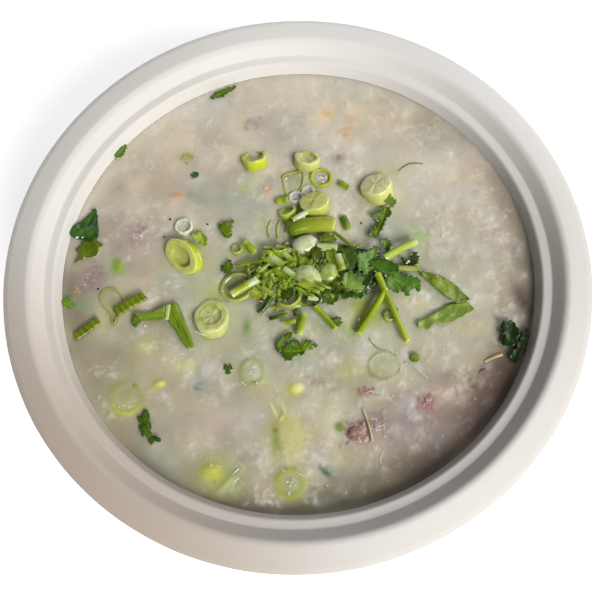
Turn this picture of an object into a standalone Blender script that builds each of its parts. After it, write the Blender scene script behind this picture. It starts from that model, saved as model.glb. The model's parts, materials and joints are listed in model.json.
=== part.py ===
"""A moulded pulp bowl filled with rice congee, topped with spring onion, coriander and minced meat.

Every length is in millimetres until a mesh is made, where MM turns it into metres.
The bowl stands on z = 0 with its axis on the z axis, and the diner sits on the -Y side.
"""

import math

import bmesh
import bpy
from mathutils import Matrix, Vector

MM = 0.001

# ---- Driving dimensions -------------------------------------------------------------------

BOWL_HEIGHT = 60.0
RIM_RADIUS = 87.5
PULP = 1.2  # wall thickness of the pressed pulp
LIP_DROP = 3.6  # how far the lip's outer edge hangs below its crest
LIP_TURN = 1.6  # the last stretch of the lip, which turns down
CREST_RADIUS = 79.6
LEDGE_OUTER_RADIUS = 75.8  # the ledge inside the rim, which a lid or the next bowl sits on
LEDGE_INNER_RADIUS = 73.0
LEDGE_DEPTH = 3.6  # ledge below the crest
LEDGE_RISE = 0.3  # the ledge slopes up by this towards the crest
LEDGE_ROUNDING = 1.5
CREST_ROUNDING = 2.2
CREST_TRIM = 0.46  # what the rounding takes off the crest's corner
WALL_SLOPE = 20.0  # degrees from upright
FOOT_RADIUS = 44.0  # to the corner before its fillet
FOOT_WIDTH = 8.0
FOOT_RISE = 1.4  # the middle of the base is raised by this, so the bowl stands on a ring
FLOOR_CORNER = 13.0  # fillet between floor and wall

CONGEE_LEVEL = 52.2
FIT_GAP = 0.3  # clearance between pieces that touch
TURN_STEPS = 48
RING_STEPS = 16

# ---- Small helpers ------------------------------------------------------------------------


def clear_scene():
    for old in list(bpy.data.objects):
        bpy.data.objects.remove(old)


def finish(name, colour, roughness, metallic=0.0):
    material = bpy.data.materials.new(name)
    material.use_nodes = True
    shader = material.node_tree.nodes["Principled BSDF"]
    shader.inputs["Base Color"].default_value = (*colour, 1.0)
    shader.inputs["Roughness"].default_value = roughness
    shader.inputs["Metallic"].default_value = metallic
    material.diffuse_color = (*colour, 1.0)
    return material


def placed(x, y, z, lean=0.0, heading=90.0, spin=0.0):
    """Turn a piece by spin about its own axis, lean its top towards heading, then move it."""
    way = math.radians(heading)
    hinge = Vector((-math.sin(way), math.cos(way), 0.0))
    leaned = Matrix.Rotation(math.radians(lean), 4, hinge)
    turned = Matrix.Rotation(math.radians(spin), 4, "Z")
    return Matrix.Translation(Vector((x, y, z)) * MM) @ leaned @ turned


def add_solid(name, bm, material, place=None, smooth=40.0):
    """Make an object from a closed bmesh drawn in millimetres."""
    bmesh.ops.remove_doubles(bm, verts=bm.verts, dist=1e-4)
    bmesh.ops.recalc_face_normals(bm, faces=bm.faces)
    bmesh.ops.scale(bm, vec=(MM, MM, MM), verts=bm.verts)
    mesh = bpy.data.meshes.new(name)
    bm.to_mesh(mesh)
    bm.free()
    mesh.shade_smooth()
    mesh.set_sharp_from_angle(angle=math.radians(smooth))
    mesh.materials.append(material)
    made = bpy.data.objects.new(name, mesh)
    made.matrix_world = place or Matrix.Identity(4)
    bpy.context.scene.collection.objects.link(made)
    return made


def as_cutter(tool):
    tool.hide_render = True
    tool.display_type = "WIRE"
    return tool


def cut(target, tool):
    boolean = target.modifiers.new("cut for " + tool.name, "BOOLEAN")
    boolean.operation = "DIFFERENCE"
    boolean.object = tool


# ---- Turned solids: the bowl and what fills it --------------------------------------------


def rounded_path(corners):
    """Points along a line of (radius, height, fillet) corners, with an arc at each fillet."""
    points = []
    for i, (r, z, fillet, steps) in enumerate(corners):
        here = Vector((r, z))
        if not fillet or i in (0, len(corners) - 1):
            points.append(here)
            continue
        back = (Vector(corners[i - 1][:2]) - here).normalized()
        ahead = (Vector(corners[i + 1][:2]) - here).normalized()
        half = back.angle(ahead) / 2
        reach = fillet / math.tan(half)
        centre = here + (back + ahead).normalized() * fillet / math.sin(half)
        start = here + back * reach - centre
        sweep = start.angle_signed(here + ahead * reach - centre)
        for k in range(steps + 1):
            points.append(centre + Matrix.Rotation(-sweep * k / steps, 2) @ start)
    return points


def offset_path(points, distance):
    """The same line moved sideways, to its right as it is walked, by distance."""
    moved = []
    for i, here in enumerate(points):
        before = points[max(i - 1, 0)]
        after = points[min(i + 1, len(points) - 1)]
        normals = []
        for a, b in ((before, here), (here, after)):
            along = b - a
            if along.length > 1e-6:
                normals.append(Vector((along.y, -along.x)).normalized())
        side = sum(normals, Vector((0.0, 0.0))).normalized()
        moved.append(here + side * distance / side.dot(normals[0]))
    moved[0].x = 0.0
    return moved


def food_side():
    """The bowl's upper surface, from the middle of the floor out to the edge of the lip."""
    crest = BOWL_HEIGHT + CREST_TRIM
    ledge = BOWL_HEIGHT - LEDGE_DEPTH
    lip = BOWL_HEIGHT - LIP_DROP
    floor = FOOT_RISE + PULP
    slope = math.tan(math.radians(WALL_SLOPE))
    wall_foot = LEDGE_INNER_RADIUS - (ledge - PULP) * slope
    recess = FOOT_RADIUS - FOOT_WIDTH
    return rounded_path(
        [
            (0.0, floor, 0, 0),
            (recess - FOOT_RISE, floor, 0, 0),
            (recess, PULP, 0, 0),
            (wall_foot, PULP, FLOOR_CORNER, 4),
            (LEDGE_INNER_RADIUS, ledge, LEDGE_ROUNDING, 2),
            (LEDGE_OUTER_RADIUS, ledge + LEDGE_RISE, LEDGE_ROUNDING, 2),
            (CREST_RADIUS, crest, CREST_ROUNDING, 2),
            (RIM_RADIUS - LIP_TURN, lip + 1.0, LIP_TURN, 1),
            (RIM_RADIUS, lip, 0, 0),
        ]
    )


def turned_solid(name, section, material, steps=TURN_STEPS, smooth=40.0):
    """Spin a closed half section, given as (radius, height) points, once round the z axis."""
    bm = bmesh.new()
    ring = [bm.verts.new((p[0], 0.0, p[1])) for p in section]
    edges = [bm.edges.new((a, b)) for a, b in zip(ring, ring[1:])]
    if min(p[0] for p in section) > 0:
        edges.append(bm.edges.new((ring[-1], ring[0])))
    bmesh.ops.spin(
        bm,
        geom=ring + edges,
        cent=(0, 0, 0),
        axis=(0, 0, 1),
        angle=math.tau,
        steps=steps,
        use_merge=True,
    )
    return add_solid(name, bm, material, None, smooth)


def build_bowl(material):
    upper = food_side()
    under = offset_path(upper, PULP)
    return turned_solid("bowl", upper + under[::-1], material)


def build_congee(material):
    """The congee fills the bowl up to its level, a fit gap away from the pulp."""
    inside = offset_path(food_side(), -FIT_GAP)
    below = [p for p in inside if p.y < CONGEE_LEVEL and p.x < LEDGE_INNER_RADIUS]
    low, high = below[-1], inside[len(below)]
    share = (CONGEE_LEVEL - low.y) / (high.y - low.y)
    shore = low.lerp(high, share)
    return turned_solid("congee", below + [shore, Vector((0.0, CONGEE_LEVEL))], material)


# ---- Spring onion -------------------------------------------------------------------------

# name: x, y, height of its middle above the congee, outer diameter, hole diameter (0 is solid),
#       length, lean, heading its top leans to, squash of its short way, spin of its long way
ONION_CUTS = {
    "onion_back_cut": (-9.6, 39.6, 0.9, 8.4, 5.4, 3.6, 40, 95, 1.0, 0),
    "onion_back_pale": (6.8, 37.6, 1.1, 8.0, 6.0, 3.0, 32, 90, 1.0, 0),
    "onion_back_foam": (11.6, 30.8, 0.5, 6.4, 4.4, 3.0, 8, 60, 0.86, 80),
    "onion_back_thin": (2.0, 30.6, 0.4, 7.4, 6.2, 3.0, 8, 120, 0.84, 60),
    "onion_chunk_right": (27.8, 25.0, 2.0, 9.6, 0.0, 6.4, 38, 125, 1.0, 0),
    "onion_chunk_centre": (8.2, 22.6, 1.7, 9.0, 0.0, 5.0, 34, 90, 0.9, 0),
    "onion_slice_centre": (-0.6, 20.4, 0.8, 5.6, 3.6, 2.6, 36, 110, 1.0, 0),
    "onion_oval_left": (-33.8, 8.8, 0.9, 12.4, 7.0, 4.4, 30, 215, 0.58, -55),
    "onion_double_left": (-26.6, -11.6, 0.8, 11.2, 4.6, 4.2, 18, 100, 1.0, 0),
    "onion_loop_left": (-57.0, -4.0, -0.6, 10.6, 9.0, 2.4, 4, 90, 0.62, 80),
    "onion_sunk_left": (-53.6, -32.4, -1.5, 9.8, 6.0, 3.6, 10, 90, 1.0, 0),
    "onion_foam_front": (-15.4, -28.8, 0.2, 7.4, 5.2, 3.0, 6, 90, 0.86, 90),
    "onion_edge_front": (-28.4, -57.4, -0.5, 9.4, 4.6, 4.6, 24, 140, 1.0, 0),
    "onion_double_front": (-7.4, -49.6, -0.9, 9.6, 5.2, 4.0, 12, 60, 0.78, 105),
    "onion_round_front": (-6.8, -62.4, -0.4, 8.6, 5.4, 3.4, 10, 120, 1.0, 0),
    "onion_outline_right": (23.2, -31.0, -0.9, 8.6, 7.4, 2.6, 4, 90, 0.86, 0),
}


def onion_cut(name, material, grow=0.0):
    """A slice across a spring onion: a short tube, or a solid disc where it has no hole."""
    x, y, rise, outer, hole, length, lean, heading, squash, spin = ONION_CUTS[name]
    top = length / 2 + grow
    rim = outer / 2 + grow
    short_way = (squash * outer / 2 + grow) / rim
    bore = (squash * hole / 2 - grow) / short_way if hole else 0.0
    section = [(bore, -top), (rim, -top), (rim, top), (bore, top)]
    label = "pocket_" + name if grow else name
    made = turned_solid(label, section, material, RING_STEPS, 35.0)
    place = placed(x, y, CONGEE_LEVEL + rise, lean, heading, spin)
    made.data.transform(place @ Matrix.Diagonal((1.0, short_way, 1.0, 1.0)))
    return made


# ---- Leaves, cut strips and the wide band of onion ----------------------------------------

# name: thickness, height of its underside above the congee, how far its ends curl up,
#       and the corners of its outline
LEAVES = {
    "leaf_left_dark": (
        0.6,
        FIT_GAP,
        0.8,
        [
            (-67.6, 19.4), (-66.6, 22.2), (-65.2, 24.4), (-63.5, 26.0), (-62.0, 28.3),
            (-60.5, 28.5), (-60.5, 24.0), (-61.0, 22.0), (-62.3, 20.6), (-64.5, 19.6),
        ],
    ),
    "leaf_left_light": (
        0.6,
        FIT_GAP,
        0.8,
        [
            (-65.2, 18.9), (-62.4, 19.9), (-61.0, 19.5), (-60.5, 18.0), (-58.5, 16.0),
            (-60.0, 14.5), (-61.0, 12.5), (-65.0, 12.0), (-68.3, 11.0), (-66.5, 13.5),
            (-65.5, 15.0), (-67.0, 15.5), (-67.2, 17.6),
        ],
    ),
    "leaf_back": (
        0.6,
        FIT_GAP,
        0.6,
        [
            (-22.2, 64.6), (-21.6, 66.2), (-19.6, 67.4), (-17.0, 68.0), (-13.4, 68.6),
            (-14.6, 67.2), (-19.0, 65.0),
        ],
    ),
    "leaf_front_left": (
        0.6,
        FIT_GAP,
        0.6,
        [
            (-47.0, -37.5), (-46.0, -39.5), (-45.5, -43.0), (-46.0, -45.0), (-43.0, -46.5),
            (-46.5, -46.8), (-48.0, -45.5), (-47.5, -44.6), (-49.0, -44.0), (-48.0, -42.2),
            (-49.5, -41.5), (-49.0, -39.5),
        ],
    ),
    "leaf_front": (
        0.6,
        FIT_GAP,
        0.8,
        [
            (-4.0, -22.0), (-2.0, -21.0), (-1.0, -22.5), (-0.8, -24.2), (0.2, -22.4),
            (2.0, -21.6), (2.5, -23.0), (4.5, -23.5), (-0.4, -25.0), (0.0, -26.0),
            (-1.6, -25.4), (-5.0, -27.5), (-6.0, -26.5), (-6.3, -24.1), (-5.4, -23.0),
        ],
    ),
    "leaf_front_small": (
        0.6,
        FIT_GAP,
        0.4,
        [
            (-3.5, -18.5), (-2.9, -19.5), (-5.0, -21.0), (-7.3, -24.6), (-8.0, -23.5),
            (-7.5, -21.5), (-5.5, -19.5),
        ],
    ),
    "leaf_curled": (
        0.6,
        FIT_GAP,
        1.2,
        [
            (24.5, 15.6), (26.5, 16.8), (30.0, 18.6), (31.0, 17.5), (31.0, 15.5),
            (29.5, 15.0), (28.0, 12.0), (26.0, 9.0), (23.0, 9.5), (23.5, 10.6),
            (27.2, 14.2),
        ],
    ),
    "leaf_blade_upper": (
        0.6,
        1.2,
        0.8,
        [
            (37.4, -5.0), (38.6, -3.5), (42.0, -5.0), (45.5, -7.0), (48.5, -10.5),
            (51.0, -13.5), (47.0, -13.5), (48.2, -15.2), (45.0, -14.0), (41.0, -9.5),
        ],
    ),
    "leaf_blade_lower": (
        0.6,
        FIT_GAP,
        0.4,
        [
            (52.0, -16.5), (49.0, -14.6), (45.0, -14.2), (40.0, -16.0), (34.5, -19.0),
            (34.0, -20.5), (37.0, -21.5), (39.0, -19.8), (42.5, -20.5), (49.0, -18.5),
        ],
    ),
    "leaf_right_upper": (
        0.6,
        FIT_GAP,
        0.8,
        [
            (58.5, -22.5), (62.0, -22.5), (63.3, -25.8), (61.3, -29.6), (59.0, -29.5),
            (57.5, -28.5), (58.8, -26.5),
        ],
    ),
    "leaf_right_lower": (
        0.6,
        FIT_GAP,
        0.8,
        [
            (66.0, -24.9), (65.4, -26.4), (64.6, -28.2), (63.4, -30.8), (62.0, -33.0),
            (60.8, -34.8), (59.0, -33.0), (60.0, -31.6), (61.6, -30.4), (63.7, -26.8),
        ],
    ),
    "strip_left_inner": (
        0.7,
        1.3,
        0.2,
        [(-56.0, -6.0), (-51.5, -3.4), (-47.0, -1.5), (-45.0, -4.0), (-50.0, -6.2), (-54.5, -8.5)],
    ),
    "strip_left_outer": (
        0.7,
        FIT_GAP,
        0.2,
        [(-68.0, -12.2), (-64.6, -9.9), (-61.0, -7.7), (-59.5, -10.0), (-63.3, -12.3), (-67.0, -14.5)],
    ),
    "strip_bent": (
        0.7,
        FIT_GAP,
        0.6,
        [
            (-50.4, -9.0), (-49.4, -7.5), (-45.0, -7.5), (-40.5, -5.5), (-39.4, -7.0),
            (-37.0, -5.5), (-36.0, -6.0), (-35.0, -12.0), (-32.0, -20.0), (-34.5, -20.5),
            (-39.6, -11.0), (-47.3, -10.6), (-49.0, -12.4),
        ],
    ),
    "onion_band_centre": (
        1.2,
        1.0,
        -0.8,
        [(-1.0, 12.6), (1.2, 15.0), (4.5, 16.4), (8.5, 16.6), (12.5, 15.6), (12.8, 12.6), (6.0, 12.6)],
    ),
}


def leaf(name, material):
    """A flat piece cut to its outline, with its ends curled up (or down) from the middle."""
    thickness, rise, curl, outline = LEAVES[name]
    middle = sum((Vector(p) for p in outline), Vector((0.0, 0.0))) / len(outline)
    reach = max((Vector(p) - middle).length for p in outline)
    bm = bmesh.new()
    corners = []
    for p in outline:
        out = (Vector(p) - middle).length / reach
        lift = curl * out * out if curl > 0 else curl * (out * out - 1.0)
        corners.append(bm.verts.new((*p, CONGEE_LEVEL + rise + lift)))
    bm.faces.new(corners)
    bmesh.ops.triangulate(bm, faces=bm.faces)
    top = bmesh.ops.extrude_face_region(bm, geom=bm.faces[:])
    raised = [v for v in top["geom"] if isinstance(v, bmesh.types.BMVert)]
    bmesh.ops.translate(bm, vec=(0, 0, thickness), verts=raised)
    return add_solid(name, bm, material, None, 30.0)


# ---- Stems --------------------------------------------------------------------------------

# name: start x, y and height above the congee, end x, y and height, radius
STEMS = {
    "stem_long_right": ((26.6, -11.6, 1.9), (30.4, -24.9, 1.6), 1.2),
    "stem_long_left": ((22.8, -13.2, 1.7), (16.9, -20.7, 1.5), 1.1),
    "stem_pale": ((30.6, 3.4, 2.2), (37.4, 6.8, 1.9), 1.3),
    "stem_low": ((5.6, -13.2, 1.6), (10.0, -19.2, 1.5), 1.1),
}
STEM_SIDES = 8


def stem(name, material):
    start, end, radius = STEMS[name]
    a, b = Vector(start), Vector(end)
    bm = bmesh.new()
    bmesh.ops.create_cone(
        bm,
        cap_ends=True,
        segments=STEM_SIDES,
        radius1=radius,
        radius2=radius * 0.9,
        depth=(b - a).length,
    )
    turned = (b - a).to_track_quat("Z", "Y").to_matrix().to_4x4()
    middle = (a + b) / 2 + Vector((0, 0, CONGEE_LEVEL))
    return add_solid(name, bm, material, Matrix.Translation(middle * MM) @ turned)


# ---- The heap of chopped herbs, and the minced meat ---------------------------------------

HEAP_OUTLINE = [
    (-21.0, -1.0), (-19.0, -6.0), (-11.0, -10.0), (-3.0, -11.0), (5.0, -11.5), (13.0, -11.0),
    (22.0, -8.5), (28.0, -9.5), (35.0, -9.5), (36.0, -7.2), (31.0, -3.2), (29.5, 0.8),
    (22.0, 6.0), (13.0, 8.6), (2.0, 10.6), (-10.0, 7.5), (-17.0, 6.0),
]
HEAP_CENTRE = Vector((4.0, -0.5))
HEAP_HEIGHT = 5.0
HEAP_EDGE = 0.8
HEAP_STEPS = 5


def heap_height(point, out):
    """Height of the heap above its edge, where out runs from 0 in the middle to 1 at its edge."""
    lumps = 1.0 + 0.16 * math.sin(0.55 * point.x + 1.0) * math.sin(0.7 * point.y)
    return (HEAP_HEIGHT - HEAP_EDGE) * (1.0 - out * out) ** 0.7 * lumps


def build_heap(material):
    """The chopped herbs lie in one low heap, higher in the middle and lumpy all over."""
    bm = bmesh.new()
    base = CONGEE_LEVEL + FIT_GAP
    top = bm.verts.new((*HEAP_CENTRE, base + HEAP_HEIGHT))
    loops = []
    for k in range(1, HEAP_STEPS + 1):
        out = k / HEAP_STEPS
        points = [HEAP_CENTRE.lerp(Vector(p), out) for p in HEAP_OUTLINE]
        loops.append([bm.verts.new((*p, base + HEAP_EDGE + heap_height(p, out))) for p in points])
    loops.append([bm.verts.new((v.co.x, v.co.y, base)) for v in loops[-1]])
    for s in range(len(HEAP_OUTLINE)):
        n = (s + 1) % len(HEAP_OUTLINE)
        bm.faces.new((top, loops[0][s], loops[0][n]))
        for inner, outer in zip(loops, loops[1:]):
            bm.faces.new((inner[s], outer[s], outer[n], inner[n]))
    bm.faces.new(loops[-1][::-1])
    return add_solid("herb_heap", bm, material)


MINCE_GAP = 0.5  # wider, because its lumps lean away from the way they are grown

# name: x, y, height of its middle above the congee, size in x, y and z
MINCE = {
    "mince_front": (14.8, -49.6, -1.0, 9.4, 7.0, 5.6),
    "mince_right": (48.6, -37.4, -1.6, 14.0, 9.6, 5.6),
}


def mince(name, material, grow=0.0):
    """A crumb of boiled minced meat: a lumpy ball, half sunk."""
    x, y, rise, *size = MINCE[name]
    bm = bmesh.new()
    bmesh.ops.create_icosphere(bm, subdivisions=2, radius=1.0)
    for v in bm.verts:
        d = v.co.normalized()
        lump = 1.0 + 0.08 * math.sin(5 * d.x + 2 * d.y) + 0.07 * math.sin(6 * d.y - 4 * d.z)
        v.co = Vector([d[k] * (size[k] / 2 * lump + grow) for k in range(3)])
    label = "pocket_" + name if grow else name
    return add_solid(label, bm, material, placed(x, y, CONGEE_LEVEL + rise))


# ---- Build --------------------------------------------------------------------------------


def main():
    clear_scene()
    pulp = finish("moulded_pulp", (0.80, 0.77, 0.70), 0.85)
    congee_finish = finish("rice_congee", (0.60, 0.56, 0.47), 0.30)
    onion = finish("spring_onion", (0.56, 0.66, 0.18), 0.30)
    leaf_finish = finish("coriander_leaf", (0.07, 0.22, 0.02), 0.40)
    stem_finish = finish("coriander_stem", (0.26, 0.46, 0.03), 0.35)
    heap_finish = finish("chopped_herbs", (0.16, 0.32, 0.04), 0.40)
    meat = finish("boiled_mince", (0.36, 0.20, 0.16), 0.45)

    build_bowl(pulp)
    congee = build_congee(congee_finish)
    for name in ONION_CUTS:
        onion_cut(name, onion)
        cut(congee, as_cutter(onion_cut(name, onion, FIT_GAP)))
    for name in MINCE:
        mince(name, meat)
        cut(congee, as_cutter(mince(name, meat, MINCE_GAP)))
    for name in LEAVES:
        leaf(name, onion if name.startswith("onion") else leaf_finish)
    for name in STEMS:
        stem(name, stem_finish)
    build_heap(heap_finish)


main()
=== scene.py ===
# %% [markdown]
# # A bowl of rice congee
# Rice congee is rice boiled in plenty of water until the grains fall apart into a thick white porridge.
# This one fills a pressed pulp bowl and is topped with cut spring onion, coriander and minced pork.
# The plain solids of the dish are already packed as a fixed frame. Here each one gets its real surface.

import json
import math

import bmesh
import bpy
import numpy as np
from mathutils import Matrix, Vector
from mathutils.geometry import delaunay_2d_cdt

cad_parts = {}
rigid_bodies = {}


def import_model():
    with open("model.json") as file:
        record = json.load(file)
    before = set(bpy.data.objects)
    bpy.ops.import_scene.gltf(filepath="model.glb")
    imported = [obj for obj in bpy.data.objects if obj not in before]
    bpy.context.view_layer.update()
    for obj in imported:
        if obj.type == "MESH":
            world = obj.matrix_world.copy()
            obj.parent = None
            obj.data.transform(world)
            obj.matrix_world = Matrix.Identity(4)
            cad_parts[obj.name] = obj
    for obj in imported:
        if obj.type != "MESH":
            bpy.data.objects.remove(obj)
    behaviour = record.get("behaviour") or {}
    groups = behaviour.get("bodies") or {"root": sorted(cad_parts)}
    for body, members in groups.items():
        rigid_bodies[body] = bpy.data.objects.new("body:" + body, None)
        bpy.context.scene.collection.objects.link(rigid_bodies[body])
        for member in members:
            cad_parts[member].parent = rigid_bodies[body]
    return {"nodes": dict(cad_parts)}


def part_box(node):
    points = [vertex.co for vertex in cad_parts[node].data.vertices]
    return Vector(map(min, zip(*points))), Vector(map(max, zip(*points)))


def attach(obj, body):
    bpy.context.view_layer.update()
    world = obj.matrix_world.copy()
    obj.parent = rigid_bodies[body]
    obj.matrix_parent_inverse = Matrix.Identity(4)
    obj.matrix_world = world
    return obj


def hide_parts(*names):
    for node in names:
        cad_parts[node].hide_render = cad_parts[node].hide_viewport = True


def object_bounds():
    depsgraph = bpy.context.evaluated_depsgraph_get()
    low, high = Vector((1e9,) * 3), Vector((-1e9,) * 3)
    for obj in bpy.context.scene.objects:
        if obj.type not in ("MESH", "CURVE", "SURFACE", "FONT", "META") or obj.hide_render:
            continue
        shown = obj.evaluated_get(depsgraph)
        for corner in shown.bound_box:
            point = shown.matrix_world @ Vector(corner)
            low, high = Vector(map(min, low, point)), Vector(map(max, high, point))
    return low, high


MM = 0.001
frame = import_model()
cad_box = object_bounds()
print(f"{len(frame['nodes'])} solids, {(cad_box[1] - cad_box[0]).x / MM:.1f} mm across")

# %% [markdown]
# ## Helpers for tables, colours and nodes
# Nothing on this dish repeats exactly, so every place, size and colour is typed into a small
# table of words, one row a line. Colours are given as sRGB hex values, but the renderer works in
# linear light, so one function turns one into the other. Shaders and Geometry Nodes trees are both built
# with one small function that adds a node, sets it up and links it.


# %% Tables and colours
def table(text):
    """Rows of numbers, colours and names. A line that starts with blanks goes on with the row above."""

    def read(word):
        """A colour or a name as text, anything else as a number."""
        try:
            return word if len(word) == 6 and word.isalnum() else float(word)
        except ValueError:
            return word

    return [[read(word) for word in line.split()] for line in text.strip().replace("\n  ", " ").splitlines()]


def linear(hex_colour):
    """An sRGB colour such as "c8bfa9" as linear red, green, blue and full opacity."""
    parts = [int(hex_colour[i : i + 2], 16) / 255 for i in (0, 2, 4)]
    return (*[c / 12.92 if c <= 0.04045 else ((c + 0.055) / 1.055) ** 2.4 for c in parts], 1.0)


def paints(*words):
    """Hex colours as linear red, green and blue."""
    return [np.array(linear(word)[:3]) for word in words]


print("white is", linear("ffffff"))


# %% Nodes
def add_node(tree, kind, inputs=None, **settings):
    """Adds a node with its own settings. Its inputs take values, sockets, or a node's first output."""
    made = tree.nodes.new(kind)
    for name, value in settings.items():
        setattr(made, name, value)
    for name, value in (inputs or {}).items():
        if isinstance(value, bpy.types.Node):
            value = value.outputs[0]
        if isinstance(value, bpy.types.NodeSocket):
            tree.links.new(value, made.inputs[name])
        else:
            made.inputs[name].default_value = value
    return made


def start_material(name, **sockets):
    """A new Principled material, with its tree and its shader. Sockets are set by name."""
    material = bpy.data.materials.new(name)
    material.use_nodes = True
    shader = material.node_tree.nodes["Principled BSDF"]
    for socket, value in sockets.items():
        shader.inputs[socket.replace("_", " ")].default_value = value
    return material, material.node_tree, shader


def wet_material(name, grain, press, depth, detail=2.0, **sockets):
    """A material in the mesh's own tint, with grain this wide (in mm) pressed into it this deep."""
    material, shading, shader = start_material(name, **sockets)
    painted = add_node(shading, "ShaderNodeAttribute", attribute_name="tint").outputs["Color"]
    spot = add_node(shading, "ShaderNodeTexCoord").outputs["Object"]
    noise = {"Vector": spot, "Scale": 1 / (grain * MM), "Detail": detail}
    cells = add_node(shading, "ShaderNodeTexNoise", noise)
    bump = add_node(shading, "ShaderNodeBump", {"Height": cells, "Strength": press, "Distance": depth * MM})
    shading.links.new(painted, shader.inputs["Base Color"])
    shading.links.new(bump.outputs["Normal"], shader.inputs["Normal"])
    print(f"{name}: grain {grain} mm wide")
    return material, shading, shader, painted, cells


print("node helpers are ready")

# %% [markdown]
# ## Helpers for meshes
# A piece can be written straight from lists of points and faces, with a tint for each point, because
# food changes colour within a millimetre or two. What follows a rule is grown by a Geometry Nodes tree
# and then turned into a plain mesh, which is all that a finished piece may hold.


# %% Meshes
def make_mesh(name, points, faces, material, tints=None):
    """A smooth-shaded object from points in metres. Tints are linear colours, one for each point."""
    mesh = bpy.data.meshes.new(name)
    mesh.from_pydata([tuple(p) for p in points], [], faces)
    mesh.materials.append(material)
    mesh.polygons.foreach_set("use_smooth", [True] * len(mesh.polygons))
    if tints is not None:
        layer = mesh.attributes.new("tint", "FLOAT_COLOR", "POINT")
        layer.data.foreach_set("color", np.asarray(tints, np.float32).ravel())
    return show(name, mesh)


def show(name, mesh):
    """An object of this mesh, in the scene."""
    made = bpy.data.objects.new(name, mesh)
    bpy.context.scene.collection.objects.link(made)
    return made


def settle(piece, slot, *nodes):
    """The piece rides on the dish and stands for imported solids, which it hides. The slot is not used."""
    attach(piece, "root")
    if nodes:
        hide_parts(*nodes)
    print(f"{piece.name}: {len(piece.data.polygons)} faces")


print("mesh helpers are ready")


# %% Geometry Nodes trees
def start_tree(name, sockets):
    """A Geometry Nodes tree with named inputs, given as (name, socket type, value)."""
    tree = bpy.data.node_groups.new(name, "GeometryNodeTree")
    tree.interface.new_socket("Geometry", in_out="INPUT", socket_type="NodeSocketGeometry")
    tree.interface.new_socket("Geometry", in_out="OUTPUT", socket_type="NodeSocketGeometry")
    for label, kind, value in sockets:
        made = tree.interface.new_socket(label, in_out="INPUT", socket_type="NodeSocket" + kind)
        if value is not None:
            made.default_value = value
    return tree, add_node(tree, "NodeGroupInput").outputs


def end_tree(tree, geometry, material):
    """Ends a tree in smooth shading, Realize Instances and Set Material."""
    smooth = add_node(tree, "GeometryNodeSetShadeSmooth", {"Geometry": geometry})
    real = add_node(tree, "GeometryNodeRealizeInstances", {"Geometry": smooth})
    painted = add_node(tree, "GeometryNodeSetMaterial", {"Geometry": real, "Material": material})
    add_node(tree, "NodeGroupOutput", {"Geometry": painted})
    print(f"{tree.name}: {len(tree.nodes)} nodes")


def grow(start, tree, name, **values):
    """Runs a tree on a starting object with these inputs, and returns the result as a plain mesh."""
    modifier = start.modifiers.new(tree.name, "NODES")
    modifier.node_group = tree
    for item in tree.interface.items_tree:
        key = item.name.lower().replace(" ", "_")
        if item.in_out == "INPUT" and key in values:
            modifier[item.identifier] = values[key]
    mesh = bpy.data.meshes.new_from_object(start.evaluated_get(bpy.context.evaluated_depsgraph_get()))
    start.modifiers.remove(modifier)
    bpy.data.objects.remove(start)
    return show(name, mesh)


print("tree helpers are ready")

# %% [markdown]
# ## Camera
# The dish is seen by someone who leans over it: about 20 degrees off straight down, a little rolled,
# from 25 cm. The lens sits close, so the near rim looks larger than the far one.

# %% Camera
TILT = math.radians(20.12)
ROLL = math.radians(5.75)
RIM_RADIUS = 87.5 * MM
# The eye's place from the middle of the rim, in rim radii.
EYE_AWAY, EYE_RIGHT, EYE_DOWN = 2.872, 0.0040, 0.1222
level_up = Vector((0, math.cos(TILT), math.sin(TILT)))
backwards = Vector((0, -math.sin(TILT), math.cos(TILT)))
level_right = Vector((1, 0, 0))
eye = Vector((0, 0, cad_box[1].z)) + backwards * EYE_AWAY * RIM_RADIUS
eye += level_right * EYE_RIGHT * RIM_RADIUS - level_up * EYE_DOWN * RIM_RADIUS
right = level_right * math.cos(ROLL) - level_up * math.sin(ROLL)
up = level_right * math.sin(ROLL) + level_up * math.cos(ROLL)
camera = show("camera", bpy.data.cameras.new("camera"))
camera.data.sensor_width = 36
camera.data.lens = 51
camera.data.clip_start = 0.001
camera.matrix_world = Matrix((right, up, backwards)).transposed().to_4x4()
camera.matrix_world.translation = eye
bpy.context.scene.camera = camera
print("the camera is at", [round(c, 3) for c in eye])

# %% [markdown]
# ## Table and light
# The bowl stands on a pale table. Its main light is one large, slightly warm softbox at the front right,
# under 40 degrees above the table, so the rim throws a soft shadow on the congee beside it and the back
# left of the wall is bright. A wider, weaker one fills from the right, and the pale room does the rest.

# %% Table and light
scene = bpy.context.scene
scene.view_settings.view_transform = "Standard"
laminate, tree, shader = start_material("white laminate table", Roughness=0.6, Emission_Strength=0.55)
shader.inputs["Base Color"].default_value = linear("fbfbfb")
shader.inputs["Emission Color"].default_value = linear("ffffff")
corners = [(-1.5, -1.5, -0.0001), (1.5, -1.5, -0.0001), (1.5, 1.5, -0.0001), (-1.5, 1.5, -0.0001)]
make_mesh("table", corners, [(0, 1, 2, 3)], laminate)


def add_softbox(name, azimuth, elevation, width, irradiance, colour):
    """A far softbox: directions and its apparent width in degrees, azimuth 0 at the diner's right."""
    lamp = bpy.data.lights.new(name, "SUN")
    lamp.angle = math.radians(width)
    lamp.energy = irradiance * math.pi
    lamp.color = linear(colour)[:3]
    a, e = math.radians(azimuth), math.radians(elevation)
    way = Vector((math.cos(a) * math.cos(e), math.sin(a) * math.cos(e), math.sin(e)))
    show(name, lamp).rotation_euler = way.to_track_quat("Z", "Y").to_euler()


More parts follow.
